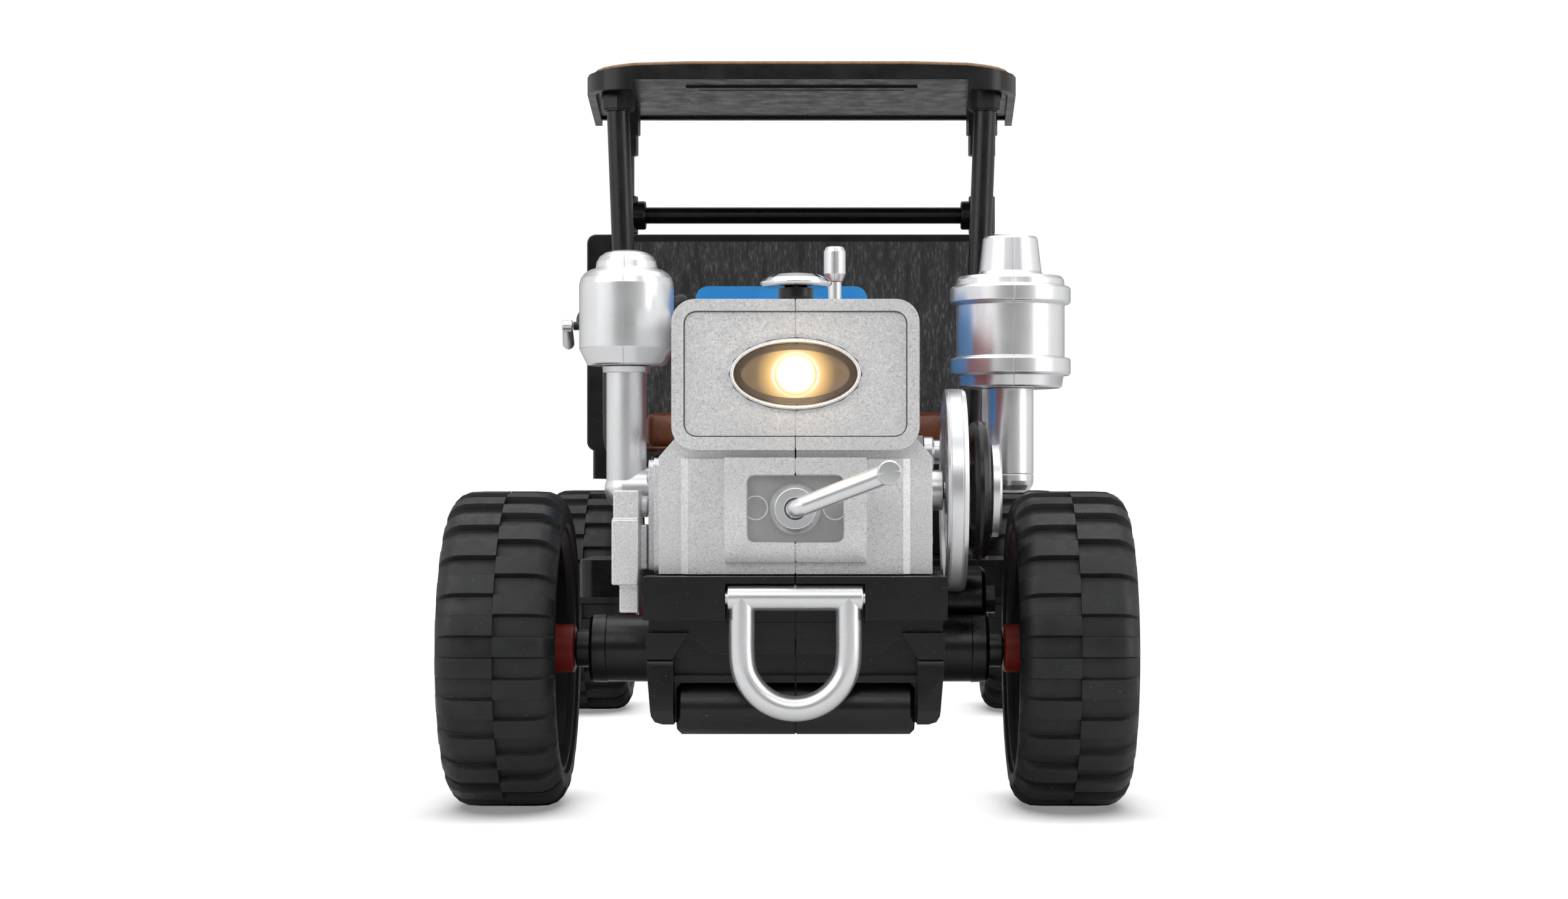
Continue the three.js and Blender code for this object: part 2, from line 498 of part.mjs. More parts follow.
function addWheels(group, end, track, shift, y) {
  for (const [label, side] of [['left', -1], ['right', 1]]) {
    const centre = [shift + (side * track) / 2, y, WHEEL_RADIUS];
    addPiece(group, `tyre_${end}_${label}`, tyre(), tyreRubber, centre);
    addPiece(group, `rim_${end}_${label}`, rim(side), redPlastic, centre);
  }
}

// Handlebars that rise behind the exhaust and intake pipes; the left one carries the gear lever.
function handlebars(group) {
  const route = [
    [28, 40, 71], [28.6, 40.6, 74], [35, 43.5, 77.5], [43, 46, 80], [48.4, 48, 86], [49.3, 50, 95],
    [49.6, 52, 107], [51, 53.6, 115.5], [54, 56, 119.1], [55.1, 60, 119.6], [55.3, 64, 119.5],
  ];
  const gearLever = [[-17, 40, 70.9], [-21, 41, 84], [-28, 43, 104], [-30.2, 44.5, 121.6]];
  for (const [label, side] of [['left', -1], ['right', 1]]) {
    const tube = swept(route.map(([x, y, z]) => [side * x, y, z]), 1.5, 18, 8);
    const lug = bar([side * 54, 50.5, 117.5], [side * 58.4, 50.4, 117.6], 1.1, 8);
    const lugArm = bar([side * 51.4, 54.4, 116], [side * 54.4, 50.4, 117.6], 1.1, 8);
    let solid = join(tube, lug, lugArm);
    if (label === 'left') {
      const foot = bar([-17.5, 40, 72.2], [-28.2, 40.2, 72.2], 1.2, 8);
      solid = join(solid, swept(gearLever, 1.1, 8, 8), ball([-30.2, 44.5, 122.9], 2.7), foot);
    }
    addPiece(group, `handlebar_${label}`, solid, blackPlastic);
    const grip = bar([side * 55.1, 58.6, 119.75], [side * 55.6, 72.6, 119.2], 3.3, 10, 3.6);
    const gripHole = bar([side * 54.9, 57, 119.55], [side * 55.4, 66, 119.45], 2.2, 8);
    addPiece(group, `grip_${label}`, cut(grip, gripHole), blackPlastic);
    const [near, far] = [[side * 60, 50.4, 117.6], [side * 61.4, 68, 114]];
    const lever = join(bar(near, far, 1.2, 8), ball(near, 1.5), ball(far, 1.6));
    addPiece(group, `squeeze_lever_${label}`, lever, satinSilver);
  }
}

// Trailer frame: the hitch fork and its pin, the driver's platform, a spine and two bolsters.
function trailerFrame(group) {
  const axleY = WHEELBASE;
  const plates = [[HITCH.tongueTop + 0.4, 51.4], [38.6, HITCH.tongueBottom - 0.4]];
  let solid = join(box(-8, 8, 61.5, 70, 38.6, 51.4), rod('z', HITCH.pin, 39, 51, [0, HITCH.y, 0]));
  for (const [low, high] of plates) {
    const plate = join(rod('z', 8, low, high, [0, HITCH.y, 0]), box(-8, 8, HITCH.y, 64, low, high));
    solid = solid.add(plate);
  }
  const drawbar = prism('z', polygon(mirrored([[8, 66], [22, 90]])), 42, 51.4);
  const { halfWidth, front, back, bottom, top } = PLATFORM;
  const platform = prism('z', roundedRect(-halfWidth, halfWidth, front, back, 4), bottom, top);
  const seatPad = box(-43, 43, 100.2, 127.4, top - 0.5, SEAT_PAD_TOP);
  const { x, y } = FRONT_POST;
  const postPads = [-1, 1].map((side) => rod('z', 5.4, top - 0.5, SEAT_PAD_TOP, [side * x, y, 0]));
  const spine = box(-18, 18, 120, 336, 44, 54);
  const frontBolster = box(-40, 40, WALL.back + 1, 146, 50, BED.bottom - GAP);
  const link = box(-18, 18, 126, 136, 46, 56);
  const rearBolster = box(-40, 40, axleY - 16, axleY + 16, 31, BED.bottom - GAP);
  const rearBeam = box(-40, 40, 318, 336, 50, BED.bottom - GAP);
  const axleHole = rod('x', SHAFT_RADIUS + 0.4, -45, 45, [0, axleY, WHEEL_RADIUS]);
  const switchSlot = box(20, 30.5, 103, 111, 44, 47.8);
  solid = join(solid, drawbar, platform, seatPad, ...postPads, spine, link, frontBolster, rearBolster, rearBeam);
  addPiece(group, 'trailer_frame', cut(solid, axleHole, switchSlot), blackPlastic);
  addPiece(group, 'power_switch', box(20.6, 24.6, 104, 110, 44.6, 47.4), greyPlastic);
}

function seat(group) {
  const base = { halfWidth: 42, front: 101, back: 126.8, bottom: SEAT_PAD_TOP + GAP, top: 84.9 };
  const outline = roundedRect(-base.halfWidth, base.halfWidth, base.front, base.back, 3);
  const shell = prism('z', outline, base.bottom, base.top);
  const hollow = box(-39.6, 39.6, base.front + 2.4, base.back - 2.4, base.bottom + 2, base.top + 1);
  addPiece(group, 'seat_base', cut(shell, hollow), blackPlastic);
  addPiece(group, 'battery_pack', box(-32, 32, 105.5, 123, base.bottom + 2.4, 76), greyPlastic);
  const profile = roundedRect(100.6, 126.8, 85.2, 98.4, 3.8);
  addPiece(group, 'seat_cushion', prism('x', profile, -45, 45), brownSeat);
}

function frontWall(group) {
  const { halfWidth, lowerHalfWidth, front, back, bottom, top } = WALL;
  const upper = prism('y', roundedRect(-halfWidth, halfWidth, 86.5, top, 2.5), front, back);
  const lower = box(-lowerHalfWidth, lowerHalfWidth, front, back, bottom, 90);
  addPiece(group, 'front_wall', join(upper, lower), blackPlastic);
  addPiece(group, 'wall_panel', box(-49, 49, front - 1.3, front - GAP, 83, 146.5), woodGrain);
}

// Cargo bed: a tray open at the top and the rear, closed there by the tailgate.
function cargoBed(group) {
  const { halfWidth, front, back, bottom, top, wall } = BED;
  const floorTop = bottom + 3.2;
  const tray = box(-halfWidth, halfWidth, front, back, bottom, top);
  const space = box(-halfWidth + wall, halfWidth - wall, front + wall, back + 1, floorTop, top + 1);
  const gateStep = box(-halfWidth + wall, halfWidth - wall, back - 3.6, back + 1, floorTop - 0.4, floorTop + 1);
  const { x, y, footZ } = REAR_POST;
  const pads = [-1, 1].map((side) => rod('z', 5.1, floorTop - 1, footZ - GAP, [side * x, y, 0], 16));
  let solid = join(cut(tray, space, gateStep), ...pads);
  const ribCount = 5;
  for (let i = 0; i < ribCount; i += 1) {
    const ribY = front + 20 + (i * (back - front - 40)) / (ribCount - 1);
    for (const side of [-1, 1]) {
      const ribX = side * (halfWidth + 0.6);
      solid = solid.add(box(ribX - 1, ribX + 1, ribY - 3, ribY + 3, bottom, top - 4));
    }
  }
  addPiece(group, 'cargo_bed', solid, blackPlastic);
  const gate = box(-halfWidth + wall + 0.4, halfWidth - wall - 0.4, back - 3, back, floorTop + 0.6, top);
  const bead = box(-50, 50, back - 0.5, back + 1, top - 9, top - 6);
  addPiece(group, 'tailgate', join(gate, bead), blackPlastic);
}

// A stepped socket under the roof that takes a post.
function roofSocket(x, y, bottomZ) {
  return join(rod('z', 4.6, 180, ROOF.edge - 1, [x, y, 0]), rod('z', 4, bottomZ, 181, [x, y, 0]));
}

function canopy(group) {
  const { front, back, frontHalfWidth, backHalfWidth, bottom, edge, top } = ROOF;
  const plan = (inset) => {
    const shape = new THREE.Shape();
    const [near, far] = [frontHalfWidth - inset, backHalfWidth - inset];
    const corner = 12 - inset;
    shape.moveTo(far, back - inset);
    shape.lineTo(near, front + inset + corner);
    shape.quadraticCurveTo(near - 1, front + inset, near - corner, front + inset);
    shape.lineTo(-near + corner, front + inset);
    shape.quadraticCurveTo(-near + 1, front + inset, -near, front + inset + corner);
    shape.lineTo(-far, back - inset);
    return shape;
  };
  const ridge = [[0, top], [30, top - 0.1], [45, top - 0.5], [52, top - 1.2], [64, edge]];
  const crown = (lift) => ridge.map(([u, v]) => [u, v + lift]);
  const section = (lift) => prism('y', polygon(mirrored([[64, bottom - 1], ...crown(lift).reverse()])), 80, 170);
  const slab = prism('z', plan(0), bottom, top + 1).intersect(section(0));
  const hollow = prism('z', plan(2.2), bottom - 1, edge - 1.6);
  const lipTrim = box(-46, 46, front - 1, front + 4, bottom - 1, bottom + 2.6);
  const rearTrim = box(-70, 70, back - 3, back + 1, bottom - 1, bottom + 2);
  const panel = box(-32, 32, front + 14, front + 50, edge - 2.1, edge - 1);
  const slot = box(-28.5, 28.5, front + 17, front + 18.6, edge - 4, edge - 1);
  let roof = cut(join(cut(slab, hollow), panel), slot, lipTrim, rearTrim);
  const posts = [
    [FRONT_POST.topX, FRONT_POST.y, FRONT_POST.radius, 179.5],
    [REAR_POST.x, REAR_POST.y, REAR_POST.radius, 174],
  ];
  for (const [x, y, radius, low] of posts) {
    for (const side of [-1, 1]) {
      const bore = rod('z', radius + GAP, 170, POST_TOP + GAP, [side * x, y, 0], 12);
      roof = cut(roof.add(roofSocket(side * x, y, low)), bore);
    }
  }
  addPiece(group, 'canopy_roof', roof, blackPlastic);
  const upper = prism('z', plan(2), bottom, top + 4);
  const skin = cut(upper.intersect(section(1.2)), section(GAP));
  addPiece(group, 'roof_skin', skin, tanSkin);
  for (const [label, side] of [['left', -1], ['right', 1]]) {
    const { x, topX, y, radius } = FRONT_POST;
    const base = SEAT_PAD_TOP + GAP;
    const post = bar([side * x, y, base], [side * topX, y, 178], radius, 12);
    const end = rod('z', radius, 177.4, POST_TOP, [side * topX, y, 0]);
    const foot = rod('z', 4.4, base, base + 4, [side * x, y, 0]);
    addPiece(group, `front_post_${label}`, join(post, end, foot), blackPlastic);
  }
  const { x, y, radius, crossbarZ, collarInnerX, footZ } = REAR_POST;
  let hoop = rod('x', 2.4, -x, x, [0, y, crossbarZ], 12);
  for (const side of [-1, 1]) {
    const inner = side * collarInnerX;
    const collar = rod('x', 4.2, Math.min(side * x, inner), Math.max(side * x, inner), [0, y, crossbarZ]);
    hoop = join(hoop, rod('z', radius, footZ, POST_TOP, [side * x, y, 0], 12), collar);
  }
  addPiece(group, 'rear_hoop', hoop, blackPlastic);
}

function rearAxle(group) {
  const half = [[SHAFT_RADIUS, 40.6], [3.6, 40.6], [3.6, 58], [SHAFT_RADIUS, 58], [SHAFT_RADIUS, 76], [0, 76]];
  const profile = half.map(([radius, along]) => [radius, -along]).reverse().concat(half);
  addPiece(group, 'rear_axle', turned('x', profile, [0, 0, 0], 12), steel, [0, WHEELBASE, WHEEL_RADIUS]);
}

const tractor = new THREE.Group();
tractor.position.y = FRONT_AXLE_Y;
addHalves(tractor, 'engine', engineCasing(), silverPaint);
addHalves(tractor, 'hopper', hopperCasing(), silverPaint);
addHalves(tractor, 'chassis', chassisCasing(), blackPlastic);
addHalves(tractor, 'gearbox', gearboxCasing(), blackPlastic);
headlight(tractor);
crank(tractor);
fillerNeckAndCap(tractor);
throttleLever(tractor);
muffler(tractor);
injectionPump(tractor);
airCleaner(tractor);
flywheelAndShaft(tractor);
fuelTank(tractor);
rearCover(tractor);
towRing(tractor);
driveTrain(tractor);
frontAxle(tractor);
addWheels(tractor, 'front', FRONT_TRACK, FRONT_AXLE_SHIFT, 0);
handlebars(tractor);

const trailer = new THREE.Group();
trailer.position.y = FRONT_AXLE_Y;
trailerFrame(trailer);
seat(trailer);
frontWall(trailer);
cargoBed(trailer);
canopy(trailer);
rearAxle(trailer);
addWheels(trailer, 'rear', REAR_TRACK, 0, WHEELBASE);

const group = new THREE.Group();
group.add(tractor, trailer);
export default group;
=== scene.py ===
"""Looks of the toy walking tractor and its canopy trailer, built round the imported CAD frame.

Lengths here are millimetres, with Y counted backwards from the front axle; at() turns them into row metres.
"""

from math import acos, cos, exp, pi, radians, sin, tan

import bpy
import numpy as np
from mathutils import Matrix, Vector, noise


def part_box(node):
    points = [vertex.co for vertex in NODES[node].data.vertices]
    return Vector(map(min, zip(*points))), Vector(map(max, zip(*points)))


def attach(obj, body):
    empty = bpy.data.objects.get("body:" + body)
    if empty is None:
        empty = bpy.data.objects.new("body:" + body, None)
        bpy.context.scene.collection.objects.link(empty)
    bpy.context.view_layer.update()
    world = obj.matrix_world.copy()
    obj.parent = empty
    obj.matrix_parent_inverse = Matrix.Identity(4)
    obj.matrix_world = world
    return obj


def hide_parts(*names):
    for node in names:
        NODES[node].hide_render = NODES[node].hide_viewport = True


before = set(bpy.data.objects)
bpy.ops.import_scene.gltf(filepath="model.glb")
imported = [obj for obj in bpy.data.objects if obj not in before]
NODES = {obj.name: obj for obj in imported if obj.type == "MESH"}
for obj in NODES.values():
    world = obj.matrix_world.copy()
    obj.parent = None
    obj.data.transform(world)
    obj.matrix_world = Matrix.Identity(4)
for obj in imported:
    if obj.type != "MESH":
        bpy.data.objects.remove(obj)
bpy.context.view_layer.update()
scene = bpy.context.scene

MM = 0.001
AXLE = sum(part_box("front_axle"), Vector()) / 2
WHEEL_RADIUS = AXLE.z / MM


def at(x, y, z):
    """A point in millimetres, Y from the front axle, as a point in the row frame."""
    return Vector((x * MM, AXLE.y + y * MM, z * MM))


def mm_box(node):
    """A CAD node's lowest and highest corner, in this script's millimetres."""
    low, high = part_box(node)
    return [Vector((p.x / MM, (p.y - AXLE.y) / MM, p.z / MM)) for p in (low, high)]


def middle(node):
    low, high = mm_box(node)
    return (low + high) / 2


# ---------------------------------------------------------------- camera, light and floor

DIM_WORLD = 0.34  # how strongly the white surroundings light the matt surfaces
CAMERA_PLACE = (7.0, -637.5, 75.85)
LENS, SHIFT = 61.2, (-0.02744, 0.02442)


def add_camera():
    data = bpy.data.cameras.new("camera")
    data.lens = LENS
    data.sensor_width = 36
    data.clip_start = 0.01
    data.shift_x, data.shift_y = SHIFT
    camera = bpy.data.objects.new("camera", data)
    camera.location = at(*CAMERA_PLACE)
    camera.rotation_euler = (radians(90), 0, 0)
    scene.collection.objects.link(camera)
    scene.camera = camera


def add_light(name, place, target, size, radiance, color=(1, 1, 1)):
    data = bpy.data.lights.new(name, "AREA")
    data.shape = "RECTANGLE"
    data.size, data.size_y = size[0] * MM, size[1] * MM
    data.energy = radiance * pi * data.size * data.size_y
    data.color = color
    light = bpy.data.objects.new(name, data)
    light.location = at(*place)
    light.rotation_euler = (at(*target) - at(*place)).to_track_quat("-Z", "Y").to_euler()
    scene.collection.objects.link(light)


def seen_and_lit(tree, seen, lit, join):
    """Joins two shaders: one for what the camera sees directly, one for light and reflections."""
    path = tree.nodes.new("ShaderNodeLightPath")
    mix = tree.nodes.new("ShaderNodeMixShader")
    tree.links.new(path.outputs["Is Camera Ray"], mix.inputs[0])
    tree.links.new(lit, mix.inputs[1])
    tree.links.new(seen, mix.inputs[2])
    tree.links.new(mix.outputs[0], join)


def add_studio():
    """A white sweep: soft boxes left, right, above and in front, and a floor that only darkens in shadow."""
    world = bpy.data.worlds.new("studio")
    world.use_nodes = True
    tree = world.node_tree
    white = tree.nodes["Background"]
    white.inputs["Color"].default_value = (1, 1, 1, 1)
    toward = tree.nodes.new("ShaderNodeTexCoord")
    split = tree.nodes.new("ShaderNodeSeparateXYZ")
    tree.links.new(toward.outputs["Generated"], split.inputs[0])

    def math_node(operation, *values):
        made = tree.nodes.new("ShaderNodeMath")
        made.operation = operation
        for k, value in enumerate(values):
            if isinstance(value, (int, float)):
                made.inputs[k].default_value = value
            else:
                tree.links.new(value, made.inputs[k])
        return made.outputs[0]

    # reflections see bright sides and a bright ceiling, and a dimmer wall behind the viewer
    beside = math_node("MAXIMUM", math_node("ABSOLUTE", split.outputs["X"]), split.outputs["Z"])
    mirrored = math_node("MULTIPLY_ADD", math_node("POWER", beside, 1.5), 0.9, 0.14 - DIM_WORLD)
    path = tree.nodes.new("ShaderNodeLightPath")
    lit = math_node("MULTIPLY_ADD", path.outputs["Is Glossy Ray"], mirrored, DIM_WORLD)
    strength = math_node("MULTIPLY_ADD", path.outputs["Is Camera Ray"], 1.02 - DIM_WORLD, lit)
    tree.links.new(strength, white.inputs["Strength"])
    scene.world = world
    scene.view_settings.view_transform = "Standard"
    middle_of_toy = (0, 40, 80)
    add_light("key", (-700, -560, 620), middle_of_toy, (800, 800), 1.7)
    add_light("side", (720, -330, 360), middle_of_toy, (420, 800), 1.7)
    add_light("front", (60, -900, 700), (0, 0, 60), (900, 420), 1.2)
    add_light("top", (0, 60, 720), middle_of_toy, (1000, 800), 0.9)
    vertices = [at(x, y, 0) for x, y in [(-6000, -4000), (6000, -4000), (6000, 8000), (-6000, 8000)]]
    mesh = bpy.data.meshes.new("floor")
    mesh.from_pydata(vertices, [], [(0, 1, 2, 3)])
    floor = bpy.data.objects.new("floor", mesh)
    scene.collection.objects.link(floor)
    material = bpy.data.materials.new("floor")
    material.use_nodes = True
    tree = material.node_tree
    shader = tree.nodes["Principled BSDF"]
    shader.inputs["Base Color"].default_value = (0.9, 0.9, 0.9, 1)
    shader.inputs["Roughness"].default_value = 0.9
    shader.inputs["Specular IOR Level"].default_value = 0.1
    near = tree.nodes.new("ShaderNodeAmbientOcclusion")
    near.inputs["Distance"].default_value = 19 * MM
    fade = tree.nodes.new("ShaderNodeMapRange")
    fade.inputs["From Min"].default_value = 0.25
    fade.inputs["From Max"].default_value = 0.85
    fade.inputs["To Min"].default_value = 0.25
    fade.inputs["To Max"].default_value = 1.02
    tree.links.new(near.outputs["AO"], fade.inputs["Value"])
    glow = tree.nodes.new("ShaderNodeEmission")
    tree.links.new(fade.outputs["Result"], glow.inputs["Strength"])
    output = next(n for n in tree.nodes if n.type == "OUTPUT_MATERIAL")
    seen_and_lit(tree, glow.outputs[0], shader.outputs[0], output.inputs["Surface"])
    mesh.materials.append(material)


# ---------------------------------------------------------------- materials


class Surface:
    """A Principled material whose colour, roughness and bump come from procedural textures in object space."""

    def __init__(self, name, color, roughness, metallic=0.0, **sockets):
        self.material = bpy.data.materials.new(name)
        self.material.use_nodes = True
        self.tree = self.material.node_tree
        self.shader = self.tree.nodes["Principled BSDF"]
        self.color = color
        self.shader.inputs["Base Color"].default_value = (*color, 1)
        self.shader.inputs["Roughness"].default_value = roughness
        self.shader.inputs["Metallic"].default_value = metallic
        for key, value in sockets.items():
            self.shader.inputs[key.replace("_", " ")].default_value = value
        self.coordinates = self.node("ShaderNodeTexCoord").outputs["Object"]
        self.normal = None

    def node(self, kind, **values):
        made = self.tree.nodes.new(kind)
        for key, value in values.items():
            setattr(made, key, value)
        return made

    def link(self, output, socket):
        self.tree.links.new(output, socket)

    def noise(self, size_mm, detail=4.0, stretch=(1, 1, 1), rough=0.55):
        """Noise with features of about size_mm, drawn out along an axis where stretch is above 1."""
        mapping = self.node("ShaderNodeMapping")
        mapping.inputs["Scale"].default_value = [1 / (size_mm * MM * s) for s in stretch]
        self.link(self.coordinates, mapping.inputs["Vector"])
        texture = self.node("ShaderNodeTexNoise")
        texture.inputs["Scale"].default_value = 1.0
        texture.inputs["Detail"].default_value = detail
        texture.inputs["Roughness"].default_value = rough
        self.link(mapping.outputs["Vector"], texture.inputs["Vector"])
        return texture.outputs["Fac"]

    def cells(self, size_mm):
        texture = self.node("ShaderNodeTexVoronoi")
        texture.inputs["Scale"].default_value = 1 / (size_mm * MM)
        self.link(self.coordinates, texture.inputs["Vector"])
        return texture

    def ramp(self, value, low, high, out_low, out_high):
        made = self.node("ShaderNodeMapRange")
        for key, number in zip(("From Min", "From Max", "To Min", "To Max"), (low, high, out_low, out_high)):
            made.inputs[key].default_value = number
        self.link(value, made.inputs["Value"])
        return made.outputs["Result"]

    def tint(self, value, color, low=0.35, high=0.65, strength=1.0):
        """Mixes another colour in where value goes from low to high."""
        mix = self.node("ShaderNodeMix", data_type="RGBA")
        socket = self.shader.inputs["Base Color"]
        if socket.links:
            self.link(socket.links[0].from_socket, mix.inputs["A"])
        else:
            mix.inputs["A"].default_value = (*self.color, 1)
        mix.inputs["B"].default_value = (*color, 1)
        self.link(self.ramp(value, low, high, 0, strength), mix.inputs["Factor"])
        self.link(mix.outputs["Result"], socket)
        return self

    def gloss(self, value, smooth, rough, low=0.3, high=0.7):
        self.link(self.ramp(value, low, high, smooth, rough), self.shader.inputs["Roughness"])
        return self

    def bump(self, value, depth_mm, strength=1.0):
        made = self.node("ShaderNodeBump")
        made.inputs["Strength"].default_value = strength
        made.inputs["Distance"].default_value = depth_mm * MM
        self.link(value, made.inputs["Height"])
        if self.normal:
            self.link(self.normal, made.inputs["Normal"])
        self.normal = made.outputs["Normal"]
        self.link(self.normal, self.shader.inputs["Normal"])
        return self


def sparkling_silver():
    s = Surface("silver_paint", (0.74, 0.74, 0.75), 0.38, 0.5, Coat_Weight=0.3, Coat_Roughness=0.16)
    flakes = s.cells(0.3)
    s.tint(flakes.outputs["Distance"], (0.92, 0.92, 0.93), 0.3, 0.75, 0.85)
    s.tint(s.noise(0.4, 3), (0.38, 0.38, 0.395), 0.52, 0.74, 0.8)
    s.tint(s.noise(26, 3), (0.56, 0.56, 0.57), 0.4, 0.7, 0.3)
    s.gloss(s.noise(0.6, 2), 0.3, 0.5)
    return s.bump(s.noise(0.4, 3), 0.03).material


# A darker silver whose darkness is painted shade, used for the plate laid in the crank pocket.
def pocket_shade_silver():
    s = Surface("pocket_shade_silver", (0.4, 0.4, 0.405), 0.45, 0.7)
    s.tint(s.noise(0.4, 3), (0.5, 0.5, 0.505), 0.5, 0.75, 0.6)
    s.tint(s.noise(7, 2), (0.33, 0.33, 0.335), 0.4, 0.7, 0.6)
    s.gloss(s.noise(3, 3), 0.36, 0.52)
    return s.bump(s.noise(0.4, 3), 0.015).material


def satin_silver():
    s = Surface("satin_silver", (0.8, 0.805, 0.815), 0.28, 0.85, Coat_Weight=0.1)
    s.tint(s.noise(12, 3), (0.74, 0.745, 0.755), 0.42, 0.7, 0.5)
    s.tint(s.noise(0.35, 2), (0.86, 0.86, 0.87), 0.55, 0.75, 0.3)
    s.gloss(s.noise(6, 2), 0.26, 0.31)
    return s.bump(s.noise(0.8, 2), 0.002).material


def chrome():
    s = Surface("chrome", (0.86, 0.865, 0.875), 0.06, 1.0)
    s.tint(s.noise(6, 3), (0.78, 0.785, 0.8), 0.45, 0.75, 0.4)
    s.gloss(s.noise(4, 5), 0.04, 0.12)
    return s.bump(s.noise(1.5, 2), 0.004).material


def steel():
    s = Surface("steel", (0.5, 0.51, 0.52), 0.3, 1.0)
    s.tint(s.noise(0.4, 3, (1, 12, 12)), (0.62, 0.63, 0.64), 0.4, 0.7, 0.6)
    s.gloss(s.noise(2, 4), 0.22, 0.38)
    return s.bump(s.noise(0.3, 2, (1, 10, 10)), 0.01).material


def moulded(name, color, light, roughness, dust=0.35, grain=0.018):
    """Satin moulded plastic with a fine grain, soft tone changes and a few specks of dust."""
    s = Surface(name, color, roughness, 0.0, Coat_Weight=0.05, Coat_Roughness=0.15, Specular_IOR_Level=0.4)
    s.tint(s.noise(14, 4), light, 0.42, 0.75, 0.55)
    s.tint(s.noise(0.35, 1), (0.5, 0.5, 0.5), 0.775, 0.8, dust)
    s.gloss(s.noise(6, 5), roughness - 0.08, roughness + 0.1)
    return s.bump(s.noise(0.5, 3), grain).material


def tyre_rubber():
    s = Surface("tyre_rubber", (0.008, 0.0085, 0.0095), 0.45, Specular_IOR_Level=0.4)
    s.tint(s.noise(10, 5), (0.018, 0.019, 0.021), 0.4, 0.7, 0.7)
    s.tint(s.noise(0.4, 1), (0.4, 0.4, 0.4), 0.77, 0.8, 0.45)
    s.gloss(s.noise(3, 5), 0.34, 0.56)
    return s.bump(s.noise(0.45, 4), 0.03).material


def dark_wood():
    s = Surface("wood_grain", (0.026, 0.026, 0.028), 0.5)
    s.tint(s.noise(0.6, 6, (1, 1, 5), 0.75), (0.19, 0.19, 0.195), 0.5, 0.68, 0.85)
    s.tint(s.noise(2.2, 5, (1, 1, 6), 0.65), (0.006, 0.006, 0.007), 0.46, 0.62, 0.9)
    s.gloss(s.noise(1.2, 4, (1, 1, 6)), 0.38, 0.62)
    return s.bump(s.noise(0.7, 6, (1, 1, 14), 0.7), 0.12).material


def brown_leather():
    s = Surface("brown_leather", (0.17, 0.045, 0.016), 0.36, 0.0, Coat_Weight=0.12, Coat_Roughness=0.3)
    pebble = s.cells(0.9)
    s.tint(s.noise(11, 4), (0.1, 0.026, 0.01), 0.4, 0.7, 0.8)
    s.tint(pebble.outputs["Distance"], (0.23, 0.075, 0.03), 0.1, 0.6, 0.35)
    s.gloss(s.noise(2, 4), 0.28, 0.46)
    s.bump(pebble.outputs["Distance"], 0.05, 0.6)
    return s.bump(s.noise(0.3, 3), 0.02).material


def tan_sheet():
    s = Surface("roof_tan", (0.44, 0.27, 0.16), 0.7)
    s.tint(s.noise(1.2, 5, (1, 14, 14), 0.65), (0.3, 0.17, 0.095), 0.44, 0.7, 0.8)
    s.tint(s.noise(18, 3), (0.52, 0.35, 0.23), 0.45, 0.75, 0.5)
    s.gloss(s.noise(2, 4), 0.55, 0.8)
    return s.bump(s.noise(0.5, 4, (1, 10, 10)), 0.06).material


def radial(surface, centre, reach_mm, aspect):
    """1 at centre, falling to 0 at an oval of half-width reach_mm; aspect is its width over its height."""
    mapping = surface.node("ShaderNodeMapping")
    scale = 1 / (reach_mm * MM)
    mapping.inputs["Location"].default_value = [-centre.x * scale, 0, -centre.z * scale * aspect]
    mapping.inputs["Scale"].default_value = [scale, 0, scale * aspect]
    surface.link(surface.coordinates, mapping.inputs["Vector"])
    length = surface.node("ShaderNodeVectorMath", operation="LENGTH")
    surface.link(mapping.outputs["Vector"], length.inputs[0])
    return surface.ramp(length.outputs["Value"], 0, 1, 1, 0)


def glowing(name, color, roughness, glow, strength, centre, reach_mm, aspect, power, white, alpha=1.0):
    """A surface that glows from the lamp's centre outwards, white where 1 at the centre is still above white."""
    s = Surface(name, color, roughness, 0.0, Alpha=alpha)
    near = radial(s, centre, reach_mm, aspect)
    falloff = s.node("ShaderNodeMath", operation="POWER")
    s.link(near, falloff.inputs[0])
    falloff.inputs[1].default_value = power
    shade = s.node("ShaderNodeMix", data_type="RGBA")
    shade.inputs["A"].default_value = (*glow, 1)
    shade.inputs["B"].default_value = (1, 0.97, 0.88, 1)
    s.link(s.ramp(near, white - 0.06, white + 0.06, 0, 1), shade.inputs["Factor"])
    s.link(shade.outputs["Result"], s.shader.inputs["Emission Color"])
    s.link(s.ramp(falloff.outputs["Value"], 0, 1, 0, strength), s.shader.inputs["Emission Strength"])
    s.tint(s.noise(1.5, 3), tuple(c * 0.8 for c in color), 0.4, 0.7, 0.5)
    return s.material


SILVER, POCKET_SHADE, SATIN, CHROME, STEEL = sparkling_silver(), pocket_shade_silver(), satin_silver(), chrome(), steel()
BLACK = moulded("black_plastic", (0.004, 0.004, 0.0044), (0.009, 0.009, 0.0097), 0.28)
GREY = moulded("grey_plastic", (0.09, 0.09, 0.092), (0.13, 0.13, 0.13), 0.5, 0.2)
RED = moulded("red_plastic", (0.25, 0.014, 0.008), (0.33, 0.026, 0.013), 0.36, 0.15)
BLUE = moulded("blue_plastic", (0.03, 0.3, 0.72), (0.06, 0.38, 0.8), 0.26, 0.15)
GASKET = moulded("lamp_gasket", (0.07, 0.05, 0.038), (0.1, 0.075, 0.058), 0.34, 0.2)
RUBBER, WOOD, LEATHER, TAN = tyre_rubber(), dark_wood(), brown_leather(), tan_sheet()


# ---------------------------------------------------------------- mesh helpers


def finish_piece(obj, material, body, stands_for=()):
    obj.data.materials.append(material)
    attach(obj, body)
    if stands_for:
        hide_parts(*stands_for)
    return obj


